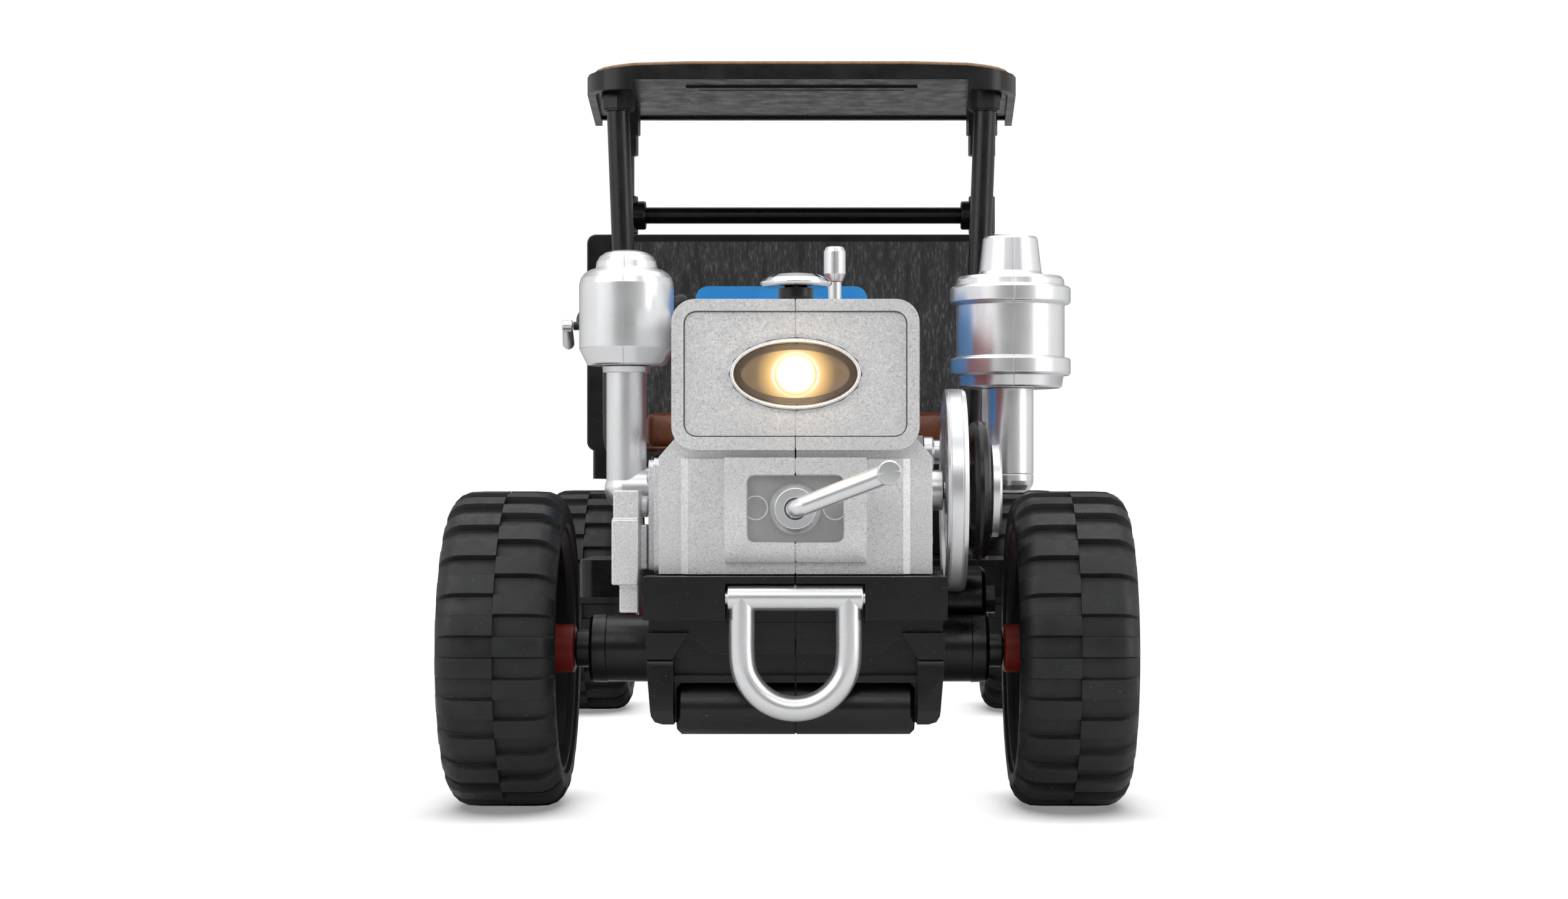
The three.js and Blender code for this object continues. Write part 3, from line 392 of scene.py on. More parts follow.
def piece(name, parts, material, body, stands_for=(), bevel=0.0, sharp=38):
    """One object from closed parts of (vertices in millimetres, faces), smooth between its sharp edges.

    Its slot is called what its material was asked to be called.
    """
    vertices, faces = [], []
    for part_vertices, part_faces in parts:
        offset = len(vertices)
        vertices += [at(*v) for v in part_vertices]
        faces += [tuple(i + offset for i in f) for f in part_faces]
    mesh = bpy.data.meshes.new(name)
    mesh.from_pydata(vertices, [], faces)
    mesh.validate()
    mesh.polygons.foreach_set("use_smooth", [True] * len(mesh.polygons))
    obj = bpy.data.objects.new(name, mesh)
    scene.collection.objects.link(obj)
    if bevel:
        add_bevel(obj, bevel, 3)
    else:
        mesh.set_sharp_from_angle(angle=radians(sharp))
    add_weighted_normals(obj)
    return finish_piece(obj, material, body, stands_for)


def add_bevel(obj, width, segments, limit=28):
    bevel = obj.modifiers.new("bevel", "BEVEL")
    bevel.width = width * MM
    bevel.segments = segments
    bevel.limit_method = "ANGLE"
    bevel.angle_limit = radians(limit)
    bevel.use_clamp_overlap = True


def add_weighted_normals(obj):
    weighted = obj.modifiers.new("normals", "WEIGHTED_NORMAL")
    weighted.keep_sharp = True


def dress(node, material, width=0.3, segments=2):
    """A CAD node keeps its shape and gets soft moulded edges and a finished material."""
    obj = NODES[node]
    mesh = obj.data
    custom = mesh.attributes.get("custom_normal")
    if custom:
        mesh.attributes.remove(custom)
    mesh.polygons.foreach_set("use_smooth", [True] * len(mesh.polygons))
    weld = obj.modifiers.new("weld", "WELD")
    weld.merge_threshold = 0.002 * MM
    planar = obj.modifiers.new("planar", "DECIMATE")
    planar.decimate_type = "DISSOLVE"
    planar.angle_limit = radians(0.6)
    add_bevel(obj, width, segments)
    add_weighted_normals(obj)
    mesh.materials.clear()
    mesh.materials.append(material)


def soften(profile, radius, closed=False, steps=4):
    """Rounds the corners of a flat outline of (u, v) points."""
    points = [Vector(p) for p in profile]
    count = len(points)
    out = []
    for i, corner in enumerate(points):
        if not closed and i in (0, count - 1):
            out.append(tuple(corner))
            continue
        before, after = points[i - 1] - corner, points[(i + 1) % count] - corner
        turn = pi - before.angle(after, pi)
        reach = min(radius * tan(turn / 2), before.length * 0.45, after.length * 0.45)
        if turn < radians(8) or reach < 0.01:
            out.append(tuple(corner))
            continue
        start, end = corner + before.normalized() * reach, corner + after.normalized() * reach
        for k in range(steps + 1):
            t = k / steps
            out.append(tuple(start * (1 - t) ** 2 + corner * (2 * t * (1 - t)) + end * t**2))
    return out


def place(axis, centre, along, u, v):
    """A point given along an axis and across it, as x, y, z; across X is (y, z), across Y (x, z), across Z (x, y)."""
    cx, cy, cz = centre
    if axis == "x":
        return (cx + along, cy + u, cz + v)
    if axis == "y":
        return (cx + u, cy + along, cz + v)
    return (cx + u, cy + v, cz + along)


def turned(axis, profile, centre, segments=72, fillet=0.3, ring=False, seams=()):
    """A (radius, along) profile turned round an axis. seams are angles where a fine moulding groove runs."""
    line = soften(profile, fillet, ring)
    groove = radians(0.7)
    angles = [(2 * pi * i / segments, 0.0) for i in range(segments)]
    for seam in seams:
        angles = [a for a in angles if abs((a[0] - seam + pi) % (2 * pi) - pi) > groove * 2.5]
        angles += [((seam + k * groove) % (2 * pi), 0.16 if k == 0 else 0.0) for k in (-1, 0, 1)]
    angles.sort()
    vertices, faces, rings = [], [], []
    for radius, along in line:
        if radius < 1e-6:
            rings.append([len(vertices)])
            vertices.append(place(axis, centre, along, 0, 0))
            continue
        rings.append(list(range(len(vertices), len(vertices) + len(angles))))
        for angle, depth in angles:
            r = radius - min(depth, radius * 0.2)
            vertices.append(place(axis, centre, along, r * cos(angle), r * sin(angle)))
    pairs = list(zip(rings, rings[1:])) + ([(rings[-1], rings[0])] if ring else [])
    count = len(angles)
    for low, high in pairs:
        for i in range(count):
            j = (i + 1) % count
            corners = [low[i % len(low)], low[j % len(low)], high[j % len(high)], high[i % len(high)]]
            corners = [c for k, c in enumerate(corners) if c != corners[k - 1]]
            if len(corners) > 2:
                faces.append(tuple(corners))
    return outward(vertices, faces)


def outward(vertices, faces):
    """Turns the faces round if the closed part is inside out."""
    v = [Vector(p) for p in vertices]
    volume = 0.0
    for face in faces:
        for k in range(1, len(face) - 1):
            volume += v[face[0]].dot(v[face[k]].cross(v[face[k + 1]]))
    return vertices, (faces if volume > 0 else [tuple(reversed(f)) for f in faces])


def tube_faces(rows, around, ring=False):
    """Faces through rows of points that each run round; a ring's last row joins its first, others are capped."""
    pairs = [(i, (i + 1) % rows) for i in range(rows if ring else rows - 1)]
    faces = [(a * around + k, a * around + (k + 1) % around, b * around + (k + 1) % around, b * around + k)
             for a, b in pairs for k in range(around)]
    if not ring:
        last = (rows - 1) * around
        faces += [tuple(reversed(range(around))), tuple(range(last, last + around))]
    return faces


def smooth_path(points, per_span):
    """Catmull-Rom points through the given ones."""
    p = [Vector(q) for q in points]
    p = [2 * p[0] - p[1]] + p + [2 * p[-1] - p[-2]]
    out = []
    for i in range(1, len(p) - 2):
        for k in range(per_span):
            t = k / per_span
            a, b, c, d = p[i - 1], p[i], p[i + 1], p[i + 2]
            curve = (2 * a - 5 * b + 4 * c - d) * t**2 + (3 * b - a - 3 * c + d) * t**3
            out.append(0.5 * (2 * b + (c - a) * t + curve))
    return out + [p[-2]]


def swept(points, radius, sides=28, per_span=6, round_ends=False):
    """A round bar along a smooth path; radius is one number or a function of the share of the way."""
    path = smooth_path(points, per_span) if per_span > 1 else [Vector(p) for p in points]
    width = radius if callable(radius) else (lambda share: radius)
    stations = [(p, width(i / (len(path) - 1))) for i, p in enumerate(path)]
    tangents = [(path[min(i + 1, len(path) - 1)] - path[max(i - 1, 0)]).normalized() for i in range(len(path))]
    if round_ends:
        steps = (75, 50, 25)
        first, last = stations[0], stations[-1]
        dome = [(sin(radians(a)), cos(radians(a))) for a in steps]
        head = [(first[0] - tangents[0] * first[1] * out, first[1] * narrow) for out, narrow in dome]
        tail = [(last[0] + tangents[-1] * last[1] * out, last[1] * narrow) for out, narrow in reversed(dome)]
        stations = head + stations + tail
        tangents = [tangents[0]] * len(steps) + tangents + [tangents[-1]] * len(steps)
    side = tangents[0].orthogonal().normalized()
    vertices = []
    for (point, r), tangent in zip(stations, tangents):
        side = (side - tangent * side.dot(tangent)).normalized()
        up = tangent.cross(side)
        for k in range(sides):
            angle = 2 * pi * k / sides
            vertices.append(tuple(point + side * (r * cos(angle)) + up * (r * sin(angle))))
    return outward(vertices, tube_faces(len(stations), sides))


def slab(axis, outline, low, high):
    """A flat outline of (u, v) points made thick along an axis."""
    vertices = [place(axis, (0, 0, 0), along, u, v) for along in (low, high) for u, v in outline]
    return outward(vertices, tube_faces(2, len(outline)))


def block(x0, x1, y0, y1, z0, z1):
    return slab("z", [(x0, y0), (x1, y0), (x1, y1), (x0, y1)], z0, z1)


def ovals(rings, segments, ring=False):
    """A closed part through ovals of (half width, half height, y, z); a ring's last oval joins its first."""
    vertices = []
    for half_width, half_height, y, z in rings:
        for k in range(segments):
            angle = 2 * pi * k / segments
            vertices.append((half_width * cos(angle), y, z + half_height * sin(angle)))
    return outward(vertices, tube_faces(len(rings), segments, ring))


def moved(part, offset):
    vertices, faces = part
    return [tuple(a + b for a, b in zip(v, offset)) for v in vertices], faces


def rectangle(half_width, half_height, z):
    """Four (x, z) corners round the middle, at a height."""
    return [(sx * half_width, z + sz * half_height) for sx, sz in ((1, -1), (1, 1), (-1, 1), (-1, -1))]


def spoke(angle, half_outline, low, high, centre):
    """A bar from a hub outwards: (reach, half width) points, mirrored, made thick along X."""
    along, across = Vector((cos(angle), sin(angle))), Vector((-sin(angle), cos(angle)))
    outline = [along * reach + across * half for reach, half in half_outline]
    outline += [along * reach - across * half for reach, half in reversed(half_outline)]
    return moved(slab("x", [tuple(p) for p in outline], low, high), centre)


def cross_screw(axis, sign, centre, radius=1.5):
    """A screw head with a cross recess cut into its face; sign is the way that it faces along the axis."""
    arm, half = radius * 0.62, radius * 0.17
    cross = [(arm, half), (half, half), (half, arm), (-half, arm), (-half, half), (-arm, half),
             (-arm, -half), (-half, -half), (-half, -arm), (half, -arm), (half, -half), (arm, -half)]
    head = [(0, -0.8), (radius, -0.8), (radius, 0.25), (radius * 0.8, 0.5), (0, 0.55)]
    return [turned(axis, [(r, along * sign) for r, along in head], centre, 32, 0.12),
            moved(slab(axis, cross, 0.5 * sign, 0.62 * sign), centre)]


# ---------------------------------------------------------------- engine, hopper and lamp

CRANK_Z = middle("crank_bush").z
HOPPER_Z = 101.1  # the middle of the hopper's recessed panel
FRONT_SEAM = radians(-90)  # a moulding seam that faces the front


def engine_and_hopper():
    for node in ("engine_left", "engine_right"):
        dress(node, SILVER, 0.4)
    for node in ("hopper_left", "hopper_right"):
        dress(node, SILVER, 0.45, 3)
    dress("injection_pump", SILVER, 0.6, 3)
    plate_y, plate_half, mark_x = -46.3, 10.6, 8.8
    # The darker plate on the pocket floor is painted shade for the recessed crank pocket.
    plate = soften(rectangle(plate_half, 7.35, CRANK_Z), 1.8, True, 6)
    piece("crank_plate", [slab("y", plate, plate_y - 0.08, plate_y + 0.2)], POCKET_SHADE, "tractor")
    marks = []
    for side in (-1, 1):
        ring = []
        for radius, turn in ((2.75, 1), (2.45, -1)):
            reach = acos((plate_half - mark_x) / radius)
            angles = np.linspace(reach, 2 * pi - reach, 32)[::turn]
            ring += [(side * (mark_x + radius * cos(a)), CRANK_Z + 0.2 + radius * sin(a)) for a in angles]
        marks.append(slab("y", ring, plate_y - 0.2, plate_y + 0.05))
    piece("crank_plate_marks", marks, SILVER, "tractor")
    half = 0.14
    tongues = [block(-half, half, -45.85, -44.5, 84.6, 93), block(-half, half, -45.85, -44.5, 109.3, 117.4),
               block(-half, half, -48.2, -46.5, 79.2, 82.3), block(-half, half, -46, -45, 64, 78.6),
               slab("x", [(-45, 59.5), (-45.95, 59.6), (-47.3, 63.5), (-45, 63.5)], -half, half),
               block(-half, half, -44.7, -43.5, 56.9, 59.2)]
    piece("seam_tongues", tongues, SILVER, "tractor")
    # A thin grey ring at the panel's edge is the groove's painted shade.
    outer, inner = [soften(rectangle(x, z, HOPPER_Z), 2.9, True, 10) for x, z in ((24.85, 14), (24.55, 13.7))]
    low_y, high_y = -46.15, -46.0
    rows = ((low_y, outer), (low_y, inner), (high_y, inner), (high_y, outer))
    vertices = [(u, y, v) for y, rim in rows for u, v in rim]
    groove = outward(vertices, tube_faces(4, len(outer), True))
    piece("panel_groove_shade", [groove], GREY, "tractor")
    screws = []
    for y, z in [(-34, 81), (4, 81), (-30, 64), (20, 62)]:
        screws += cross_screw("x", 1, (30.5, y, z))
    plate_x = mm_box("engine_left")[0].x
    for y, z in [(-32, 78), (12, 78), (12, 61), (-28, 61)]:
        screws += cross_screw("x", -1, (plate_x, y, z))
    piece("engine_screws", screws, STEEL, "tractor")


def headlight():
    low, high = mm_box("headlight_bezel")
    front = low.y
    z = (low.z + high.z) / 2
    half_width, half_height = (high.x - low.x) / 2, (high.z - low.z) / 2
    edge = [(0.02, 0.02, 3), (0, 0, 0.5), (0.12, 0.12, 0.12), (0.4, 0.4, 0), (0.68, 0.7, 0.15), (0.82, 0.9, 0.6),
            (0.82, 0.9, 3)]
    bezel = [(half_width - u, half_height - v, front + depth, z) for u, v, depth in edge]
    piece("bezel", [ovals(bezel, 96, True)], SILVER, "tractor", ("headlight_bezel",), sharp=60)
    centre = at(0, front, z)
    lens_high = mm_box("headlight_lens")[1]
    wide, tall = lens_high.x, lens_high.z - z
    bowl_color, bulb_color = (0.26, 0.2, 0.155), (1.0, 0.9, 0.7)
    # The bowl's glow is the bulb's light painted on as a reflection, brightest at the centre.
    bowl_material = glowing("lamp_bowl", bowl_color, 0.32, (1.0, 0.62, 0.18), 3.6, centre, 9.0, 1.05, 1.25, 0.4)
    bowl = [(wide, tall, front + 1.3, z), (wide - 0.9, tall - 0.9, front + 1.9, z), (10.4, 5.4, front + 2.9, z),
            (6.5, 4.95, front + 3.2, z), (4.7, 4.7, front + 3.3, z), (4.7, 4.7, front + 3.9, z),
            (wide, tall, front + 3.9, z)]
    piece("lamp_bowl", [ovals(bowl, 72, True)], bowl_material, "tractor")
    band = [(wide - 0.02, tall - 0.02, front + 1.2, z), (wide - 0.02, tall - 0.02, front + 0.7, z),
            (wide - 1.4, tall - 1.3, front + 1.0, z), (wide - 1.4, tall - 1.3, front + 1.6, z)]
    piece("lamp_band", [ovals(band, 96, True)], GASKET, "tractor")
    lens_color = (0.3, 0.22, 0.14)
    # The lens's faint glow is painted light from the bulb.
    lens_material = glowing("lamp_lens", lens_color, 0.05, (1.0, 0.7, 0.26), 0.6, centre, 9, 1.1, 2.0, 0.6, 0.2)
    dome = [(12.6, 5.9, front + 1.9, z), (12.6, 5.9, front + 1.0, z), (11.9, 5.4, front + 0.75, z),
            (9.5, 4.3, front + 0.45, z), (6.0, 2.7, front + 0.25, z), (2.5, 1.1, front + 0.18, z),
            (0.3, 0.15, front + 0.17, z)]
    piece("lamp_lens", [ovals(dome, 96)], lens_material, "tractor", ("headlight_lens",), sharp=60)
    bulb_glow = glowing("lamp_bulb", bulb_color, 0.2, (1.0, 0.55, 0.06), 2.6, centre, 6.5, 1, 0.8, 0.42)
    bulb = turned("y", [(0, 2.6), (3.2, 2.3), (3.7, 1.4), (4.3, 1.3), (4.6, 1.9), (4.6, 5.2), (0, 5.2)],
                  (0, front, z), 48, 0.25)
    piece("lamp_bulb", [bulb], bulb_glow, "tractor", ("headlight_bulb",), sharp=60)
    add_light("lamp_halo", (0, front - 7, z), (0, front, z), (9, 6), 7.0, (1.0, 0.76, 0.42))


def crank_and_cap():
    z = CRANK_Z
    bush = [(2.45, -41), (3.4, -41), (3.4, -46.6), (5.7, -46.6), (5.7, -47.4), (4.5, -48.9), (2.45, -48.9)]
    piece("bush", [turned("y", bush, (0, 0, z), 64, 0.25, True)], SATIN, "tractor", ("crank_bush",))
    angle, length = radians(21), 21.9
    end_x, end_z = length * cos(angle), z + length * sin(angle)
    bend = 2.4
    path = [(0, -38, z), (0, -45, z), (0, -56 + bend, z)]
    for k in range(1, 5):
        a = k / 5 * pi / 2
        out = bend * (1 - cos(a))
        path.append((out * cos(angle), -56 + bend - bend * sin(a), z + out * sin(angle)))
    path += [(s * cos(angle), -56, z + s * sin(angle)) for s in (bend + 0.2, 9, 15, 21.5)]
    arm = swept(path, lambda share: 2.0 + 0.35 * max(0.0, share - 0.5) * 2, 28, 5, True)
    handle = turned("y", [(0, -65), (2.45, -65), (2.75, -64.6), (2.75, -54.6), (2.4, -54.2), (0, -54.2)],
                    (end_x, 0, end_z), 40, 0.15, seams=(radians(10), radians(190)))
    piece("crank", [arm, handle], SATIN, "crank", ("crank_handle",))
    neck_low, neck_high = mm_box("filler_neck")
    y = (neck_low.y + neck_high.y) / 2
    neck = [(2.8, neck_low.z), (4.3, neck_low.z), (3.9, neck_low.z + 0.8), (3.9, neck_high.z), (2.8, neck_high.z)]
    piece("neck", [turned("z", neck, (0, y, 0), 48, 0.15, True)], BLACK, "tractor", ("filler_neck",))
    cap = [(0, 119), (2.4, 119), (2.4, 121.1), (7.3, 121.1), (8.1, 121.6), (8.1, 122.1), (7.0, 123.0), (5.2, 123.8),
           (2.8, 124.2), (0, 124.3)]
    piece("cap", [turned("z", cap, (0, y, 0), 72, 0.4)], CHROME, "filler_cap", ("filler_cap",))


def throttle():
    c = middle("throttle_lever")
    knob = [(0, 124.2), (1.75, 124.2), (2.6, 126.2), (2.6, 131.4), (2.1, 132.6), (0, 132.6)]
    ball_ring = [(0, 87.1), (1.8, 87.8), (2.6, 89.7), (1.8, 91.5), (1.6, 92.2), (1.6, 124.8), (0, 124.8)]
    parts = [turned("z", knob, (c.x, c.y, 0), 40, 0.5, seams=(FRONT_SEAM,)),
             turned("z", ball_ring, (c.x, c.y, 0), 32, 0.6)]
    piece("throttle", parts, SATIN, "throttle", ("throttle_lever",))


def stacks():
    """The exhaust muffler on the left and the air cleaner on the right, each on its pipe."""
    c = middle("muffler")
    bottom, top = mm_box("muffler")[0].z, mm_box("muffler")[1].z
    lower = [(0, 0), (8.8, 0), (9.2, 0.4), (10.9, 3.8), (10.97, 4.1)]
    upper = [(10.97, 8), (10.6, 6.6), (9.7, 5.4), (8.4, 4.6), (7.2, 4.3), (7.1, 3.8), (6.9, 2.7), (6.2, 1.5),
             (4.9, 0.6), (3.0, 0.1), (0, 0)]
    body = [(r, bottom + up) for r, up in lower] + [(r, top - down) for r, down in upper]
    seams = (FRONT_SEAM, -FRONT_SEAM)
    muffler = turned("z", body, (c.x, c.y, 0), 96, 0.6, seams=seams)
    piece("exhaust_muffler", [muffler], SATIN, "tractor", ("muffler",))
    flange_x = mm_box("muffler_pipe")[1].x
    elbow_z, reach = 75.6, 5.05
    tube = [(0, elbow_z), (4.65, elbow_z), (4.65, bottom - 0.1), (0, bottom - 0.1)]
    pipe = turned("z", tube, (c.x, c.y, 0), 64, 0.1)
    round_end = [(reach * sin(a), c.x - reach * cos(a)) for a in np.linspace(0, pi / 2, 12)]
    elbow = turned("x", round_end + [(reach, flange_x), (0, flange_x)], (0, c.y, elbow_z), 64, 0.2)
    collar = turned("z", [(4.7, bottom - 1.6), (5.4, bottom - 1.6), (5.6, bottom - 0.2), (4.7, bottom - 0.2)],
                    (c.x, c.y, 0), 64, 0.2, True)
    piece("exhaust_pipe", [pipe, elbow, collar], SATIN, "tractor", ("muffler_pipe",))
    c = middle("air_cleaner")
    bottom, top = mm_box("air_cleaner")[0].z, mm_box("air_cleaner")[1].z
    lower = [(0, 0), (12.2, 0), (12.7, 0.4), (13.1, 3.1), (14.5, 3.1), (14.85, 3.6), (14.85, 6.9), (14.5, 7.3),
             (13.35, 7.5), (13.35, 20.4), (14.5, 20.7), (14.85, 21.1), (14.85, 24.4), (14.4, 24.9), (13.4, 25),
             (13.2, 26.6), (12.6, 27.4), (8.2, 27.9), (7.7, 28.6)]
    body = [(r, bottom + up) for r, up in lower] + [(6.75, top - 0.6), (6.3, top), (0, top)]
    cleaner = turned("z", body, (c.x, c.y, 0), 96, 0.35, seams=seams)
    piece("air_cleaner_body", [cleaner], SATIN, "tractor", ("air_cleaner",))
    low = mm_box("air_cleaner_pipe")[0]
    foot = [(0, 0), (3.2, 0.1), (4.7, 0.7), (5.5, 1.9), (5.7, 3), (5.7, 4.4), (5.5, 4.6), (5.7, 4.8)]
    pipe = [(r, low.z + up) for r, up in foot] + [(5.7, bottom - 0.1), (0, bottom - 0.1)]
    rib = block(c.x - 6.9, c.x - 2, c.y + 1, c.y + 3, 78, bottom - 0.2)
    inlet = turned("x", [(0, low.x), (3.8, low.x), (3.8, 32.8), (3.4, 33.2), (3, 33.3), (3, c.x), (0, c.x)],
                   (0, c.y, 84.7), 40, 0.15)
    upright = turned("z", pipe, (c.x, c.y, 0), 80, 0.15)
    piece("intake_pipe", [upright, inlet, rib], SATIN, "tractor", ("air_cleaner_pipe",))


# ---------------------------------------------------------------- flywheel


def flywheel():
    c = middle("flywheel")
    centre = (0, c.y, c.z)
    low, high = mm_box("flywheel")
    radius = (high.z - low.z) / 2
    inner, outer = low.x, high.x
    rim = [(20.4, inner + 0.3), (22.2, inner), (radius - 0.3, inner + 0.25), (radius, inner + 0.9),
           (radius - 0.25, inner + 1.05), (radius, inner + 1.2), (radius, outer - 1.4), (radius - 0.25, outer - 1.25),
           (radius, outer - 1.1), (radius - 0.4, outer - 0.1), (22, outer), (20.4, outer - 0.4)]
    step = [(18.2, inner + 1.2), (20.5, inner + 1.0), (20.5, outer - 0.9), (18.2, outer - 1.1)]
    hub = [(2.35, inner + 0.45), (5.5, inner + 0.45), (6.6, inner + 2), (6.6, outer - 0.6), (2.35, outer - 0.6)]
    parts = [turned("x", rim, centre, 120, 0.12, True), turned("x", step, centre, 96, 0.2, True),
             turned("x", hub, centre, 48, 0.3, True)]
    spokes = 5
    for i in range(spokes):
        angle = 2 * pi * (i + 0.25) / spokes
        parts.append(spoke(angle, [(5.2, 3.4), (12, 2.1), (19.2, 3.2)], inner + 1.9, outer - 1.5, centre))
    piece("spoked_flywheel", parts, SATIN, "flywheel", ("flywheel",))
    ring = [(6, 39.6), (13.4, 39.6), (14.6, 40.0), (15.9, 41.0), (16.4, 42.2), (16.4, 43.0), (15.8, 44.1),
            (14.2, 44.7), (11.5, 44.8), (6, 44.8)]
    piece("belt_ring", [turned("x", ring, centre, 96, 0.5, True)], BLACK, "flywheel", ("pulley_ring",))
    shaft = [(0, 28.9), (2, 28.9), (2, 30.8), (4.5, 30.8), (4.75, 31.1), (4.75, 34.0), (2, 34.3), (2, 38.9),
             (5.7, 38.9), (5.7, 45.1), (10.6, 45.1), (11, 45.4), (11, 47.0), (10.6, 47.5), (7.6, 47.5), (7.2, 47.1),
             (2.4, 47.1), (2.2, 47.5), (0, 47.5)]
    piece("engine_shaft", [turned("x", shaft, centre, 72, 0.2)], SATIN, "flywheel", ("crankshaft",))


# ---------------------------------------------------------------- chassis and tow ring


def chassis_and_gearbox():
    for node in ("chassis_left", "chassis_right"):
        dress(node, BLACK, 0.5, 3)
    half = 0.14
    tongues = [block(-half, half, -42.7, -38.3, 24, 46), block(-half, half, -45.7, -40.3, 42.4, 56),
               block(-half, half, -44.6, -36.8, 22.4, 31), block(-half, half, -42.6, -39, 21.1, 24)]
    piece("chassis_tongues", tongues, BLACK, "tractor")
    for node in ("gearbox_left", "gearbox_right"):
        dress(node, BLACK, 0.4)
    dress("rear_cover", RED, 0.9, 3)
    dress("fuel_tank", BLUE, 1.6, 4)
    dress("drive_motor", STEEL, 0.2)
    dress("motor_pinion", GREY, 0.1)
    dress("axle_gear", GREY, 0.1)
    sleeves = []
    for side, reach in ((-1, 49.3), (1, 45.3)):
        mouth = [(7.2, -4), (8.15, -4), (8.0, -0.6), (7.5, 0.1), (5.2, 0.1), (5.2, -2)]
        tube = [(r, side * (reach + out)) for r, out in mouth]
        sleeves.append(turned("x", tube, (0, 0, WHEEL_RADIUS), 64, 0.3, True))
    piece("axle_sleeves", sleeves, BLACK, "tractor")


def tow_ring():
    low, high = mm_box("tow_ring")
    y = (low.y + high.y) / 2
    rod, half = 2.84, 11.8
    z = high.z - rod
    arc_z = low.z + rod + half
    path = [(-half, y, z), (-half, y, z - 4), (-half, y, (z + arc_z) / 2), (-half, y, arc_z + 1)]
    for i in range(1, 12):
        a = pi * i / 12
        path.append((-half * cos(a), y, arc_z - half * sin(a)))
    path += [(half, y, arc_z + 1), (half, y, (z + arc_z) / 2), (half, y, z - 4), (half, y, z)]
    end = half + rod + 0.25
    bar = turned("x", [(0, -18), (1.5, -18), (1.5, -end), (rod - 0.15, -end), (rod, -end + 0.2), (rod, end - 0.2),
                       (rod - 0.15, end), (1.5, end), (1.5, 18), (0, 18)], (0, y, z), 48, 0.1)
    piece("ring", [swept(path, rod, 36, 5), bar], SATIN, "tow_ring", ("tow_ring",), sharp=50)


# ---------------------------------------------------------------- wheels

LUGS = 24
SIDES = (("left", -1), ("right", 1))


def tyre_part(centre, width):
    """A round carcass with two staggered rows of tread lugs that wrap over the shoulders."""
    half = width / 2
    radius = WHEEL_RADIUS
    groove = 1.55
    # radius, distance from the middle, and how much of the lug height is there
    row = [(radius, 0.0, 1.0), (radius, half * 0.45, 1.0), (radius - 0.15, half * 0.68, 1.0),
           (radius - 0.9, half * 0.82, 1.0), (radius - 2.2, half * 0.92, 0.9), (radius - 3.9, half * 0.985, 0.45),
           (radius - 5.6, half, 0.0), (radius - 7.6, half * 0.985, 0.0), (radius - 8.2, half * 0.93, 0.0),
           (radius - 9.2, half * 0.92, 0.0), (radius - 10.2, half * 0.86, 0.0), (26.6, half * 0.8, 0.0),
           (26.6, 0.0, 0.0)]
    pitch = 2 * pi / LUGS
    edge = pitch * 0.022
    stations = []
    for i in range(LUGS):
        for offset, left, right in ((edge, 1, 0), (pitch * 0.25, 1, 0), (pitch * 0.5 - edge, 1, 0),
                                    (pitch * 0.5 + edge, 0, 1), (pitch * 0.75, 0, 1), (pitch - edge, 0, 1)):
            stations.append((i * pitch + offset, left, right))
    line = [(r, -d, share, "left") for r, d, share in reversed(row)]
    line += [(r, d, share, "right") for r, d, share in row]
    vertices = []
    for angle, left, right in stations:
        for r, d, share, column in line:
            raised = left if column == "left" else right
            reach = r - (0 if raised else groove * share)
            vertices.append(place("x", centre, d, reach * cos(angle), reach * sin(angle)))
    return outward(vertices, tube_faces(len(stations), len(line), True))


def rim_part(centre, side):
    """A dished rim whose hub reaches inboard, with a domed centre outside and five pressed windows' ribs."""
    dish = [(2.35, -15.4), (5.4, -15.4), (5.75, -15), (5.9, 1.0), (8.5, 2.6), (19.5, 3.6), (22.2, 1.8),
            (23.6, -4.6), (24.6, -6.0), (26.1, -6.0), (26.4, -5.2), (26.4, 9.6), (26.1, 10.7), (24.4, 10.7),
            (23.4, 9.6), (21.8, 6.2), (12, 6.4), (8.2, 8.2), (6.2, 10.4), (0, 10.8), (0, 6.2), (2.35, 6.2)]
    parts = [turned("x", [(r, side * a) for r, a in dish], centre, 80, 0.5, True)]
    for i in range(5):
        for low, high in ((6.0, 8.3), (1.2, 3.6)):
            depths = sorted((side * low, side * high))
            parts.append(spoke(2 * pi * i / 5, [(7, 2.2), (21.4, 1.5)], *depths, centre))
    return parts


def wheels():
    places = {"front_left": (-1, "front_wheels"), "front_right": (1, "front_wheels"),
              "rear_left": (-1, "rear_wheel_left"), "rear_right": (1, "rear_wheel_right")}
    for label, (side, body) in places.items():
        low, high = mm_box(f"tyre_{label}")
        centre = tuple((low + high) / 2)
        tyre = tyre_part(centre, high.x - low.x)
        piece(f"lugged_tyre_{label}", [tyre], RUBBER, body, (f"tyre_{label}",), bevel=0.16)
        piece(f"dished_rim_{label}", rim_part(centre, side), RED, body, (f"rim_{label}",))
    c = middle("front_axle")
    low, high = mm_box("front_axle")
    half = (high.x - low.x) / 2
    shaft = [(0, -half), (2, -half), (2, -50.8), (4.3, -50.8), (4.5, -50.5), (4.5, -47.6), (4.1, -47.4),
             (4.1, -44.2), (2, -44.2)]
    profile = shaft + [(r, -a) for r, a in reversed(shaft)]
    axle = turned("x", profile, (c.x, 0, WHEEL_RADIUS), 48, 0.15)
    piece("axle_shaft", [axle], BLACK, "front_wheels", ("front_axle",))
    c = middle("rear_axle")
    shaft = [(0, -76), (2, -76), (2, -58), (3.3, -58), (3.6, -57.7), (3.6, -40.9), (3.3, -40.6), (2, -40.6)]
    profile = shaft + [(r, -a) for r, a in reversed(shaft)]
    piece("trailer_axle", [turned("x", profile, tuple(c), 40, 0.15)], STEEL, "trailer", ("rear_axle",))


# ---------------------------------------------------------------- handlebars


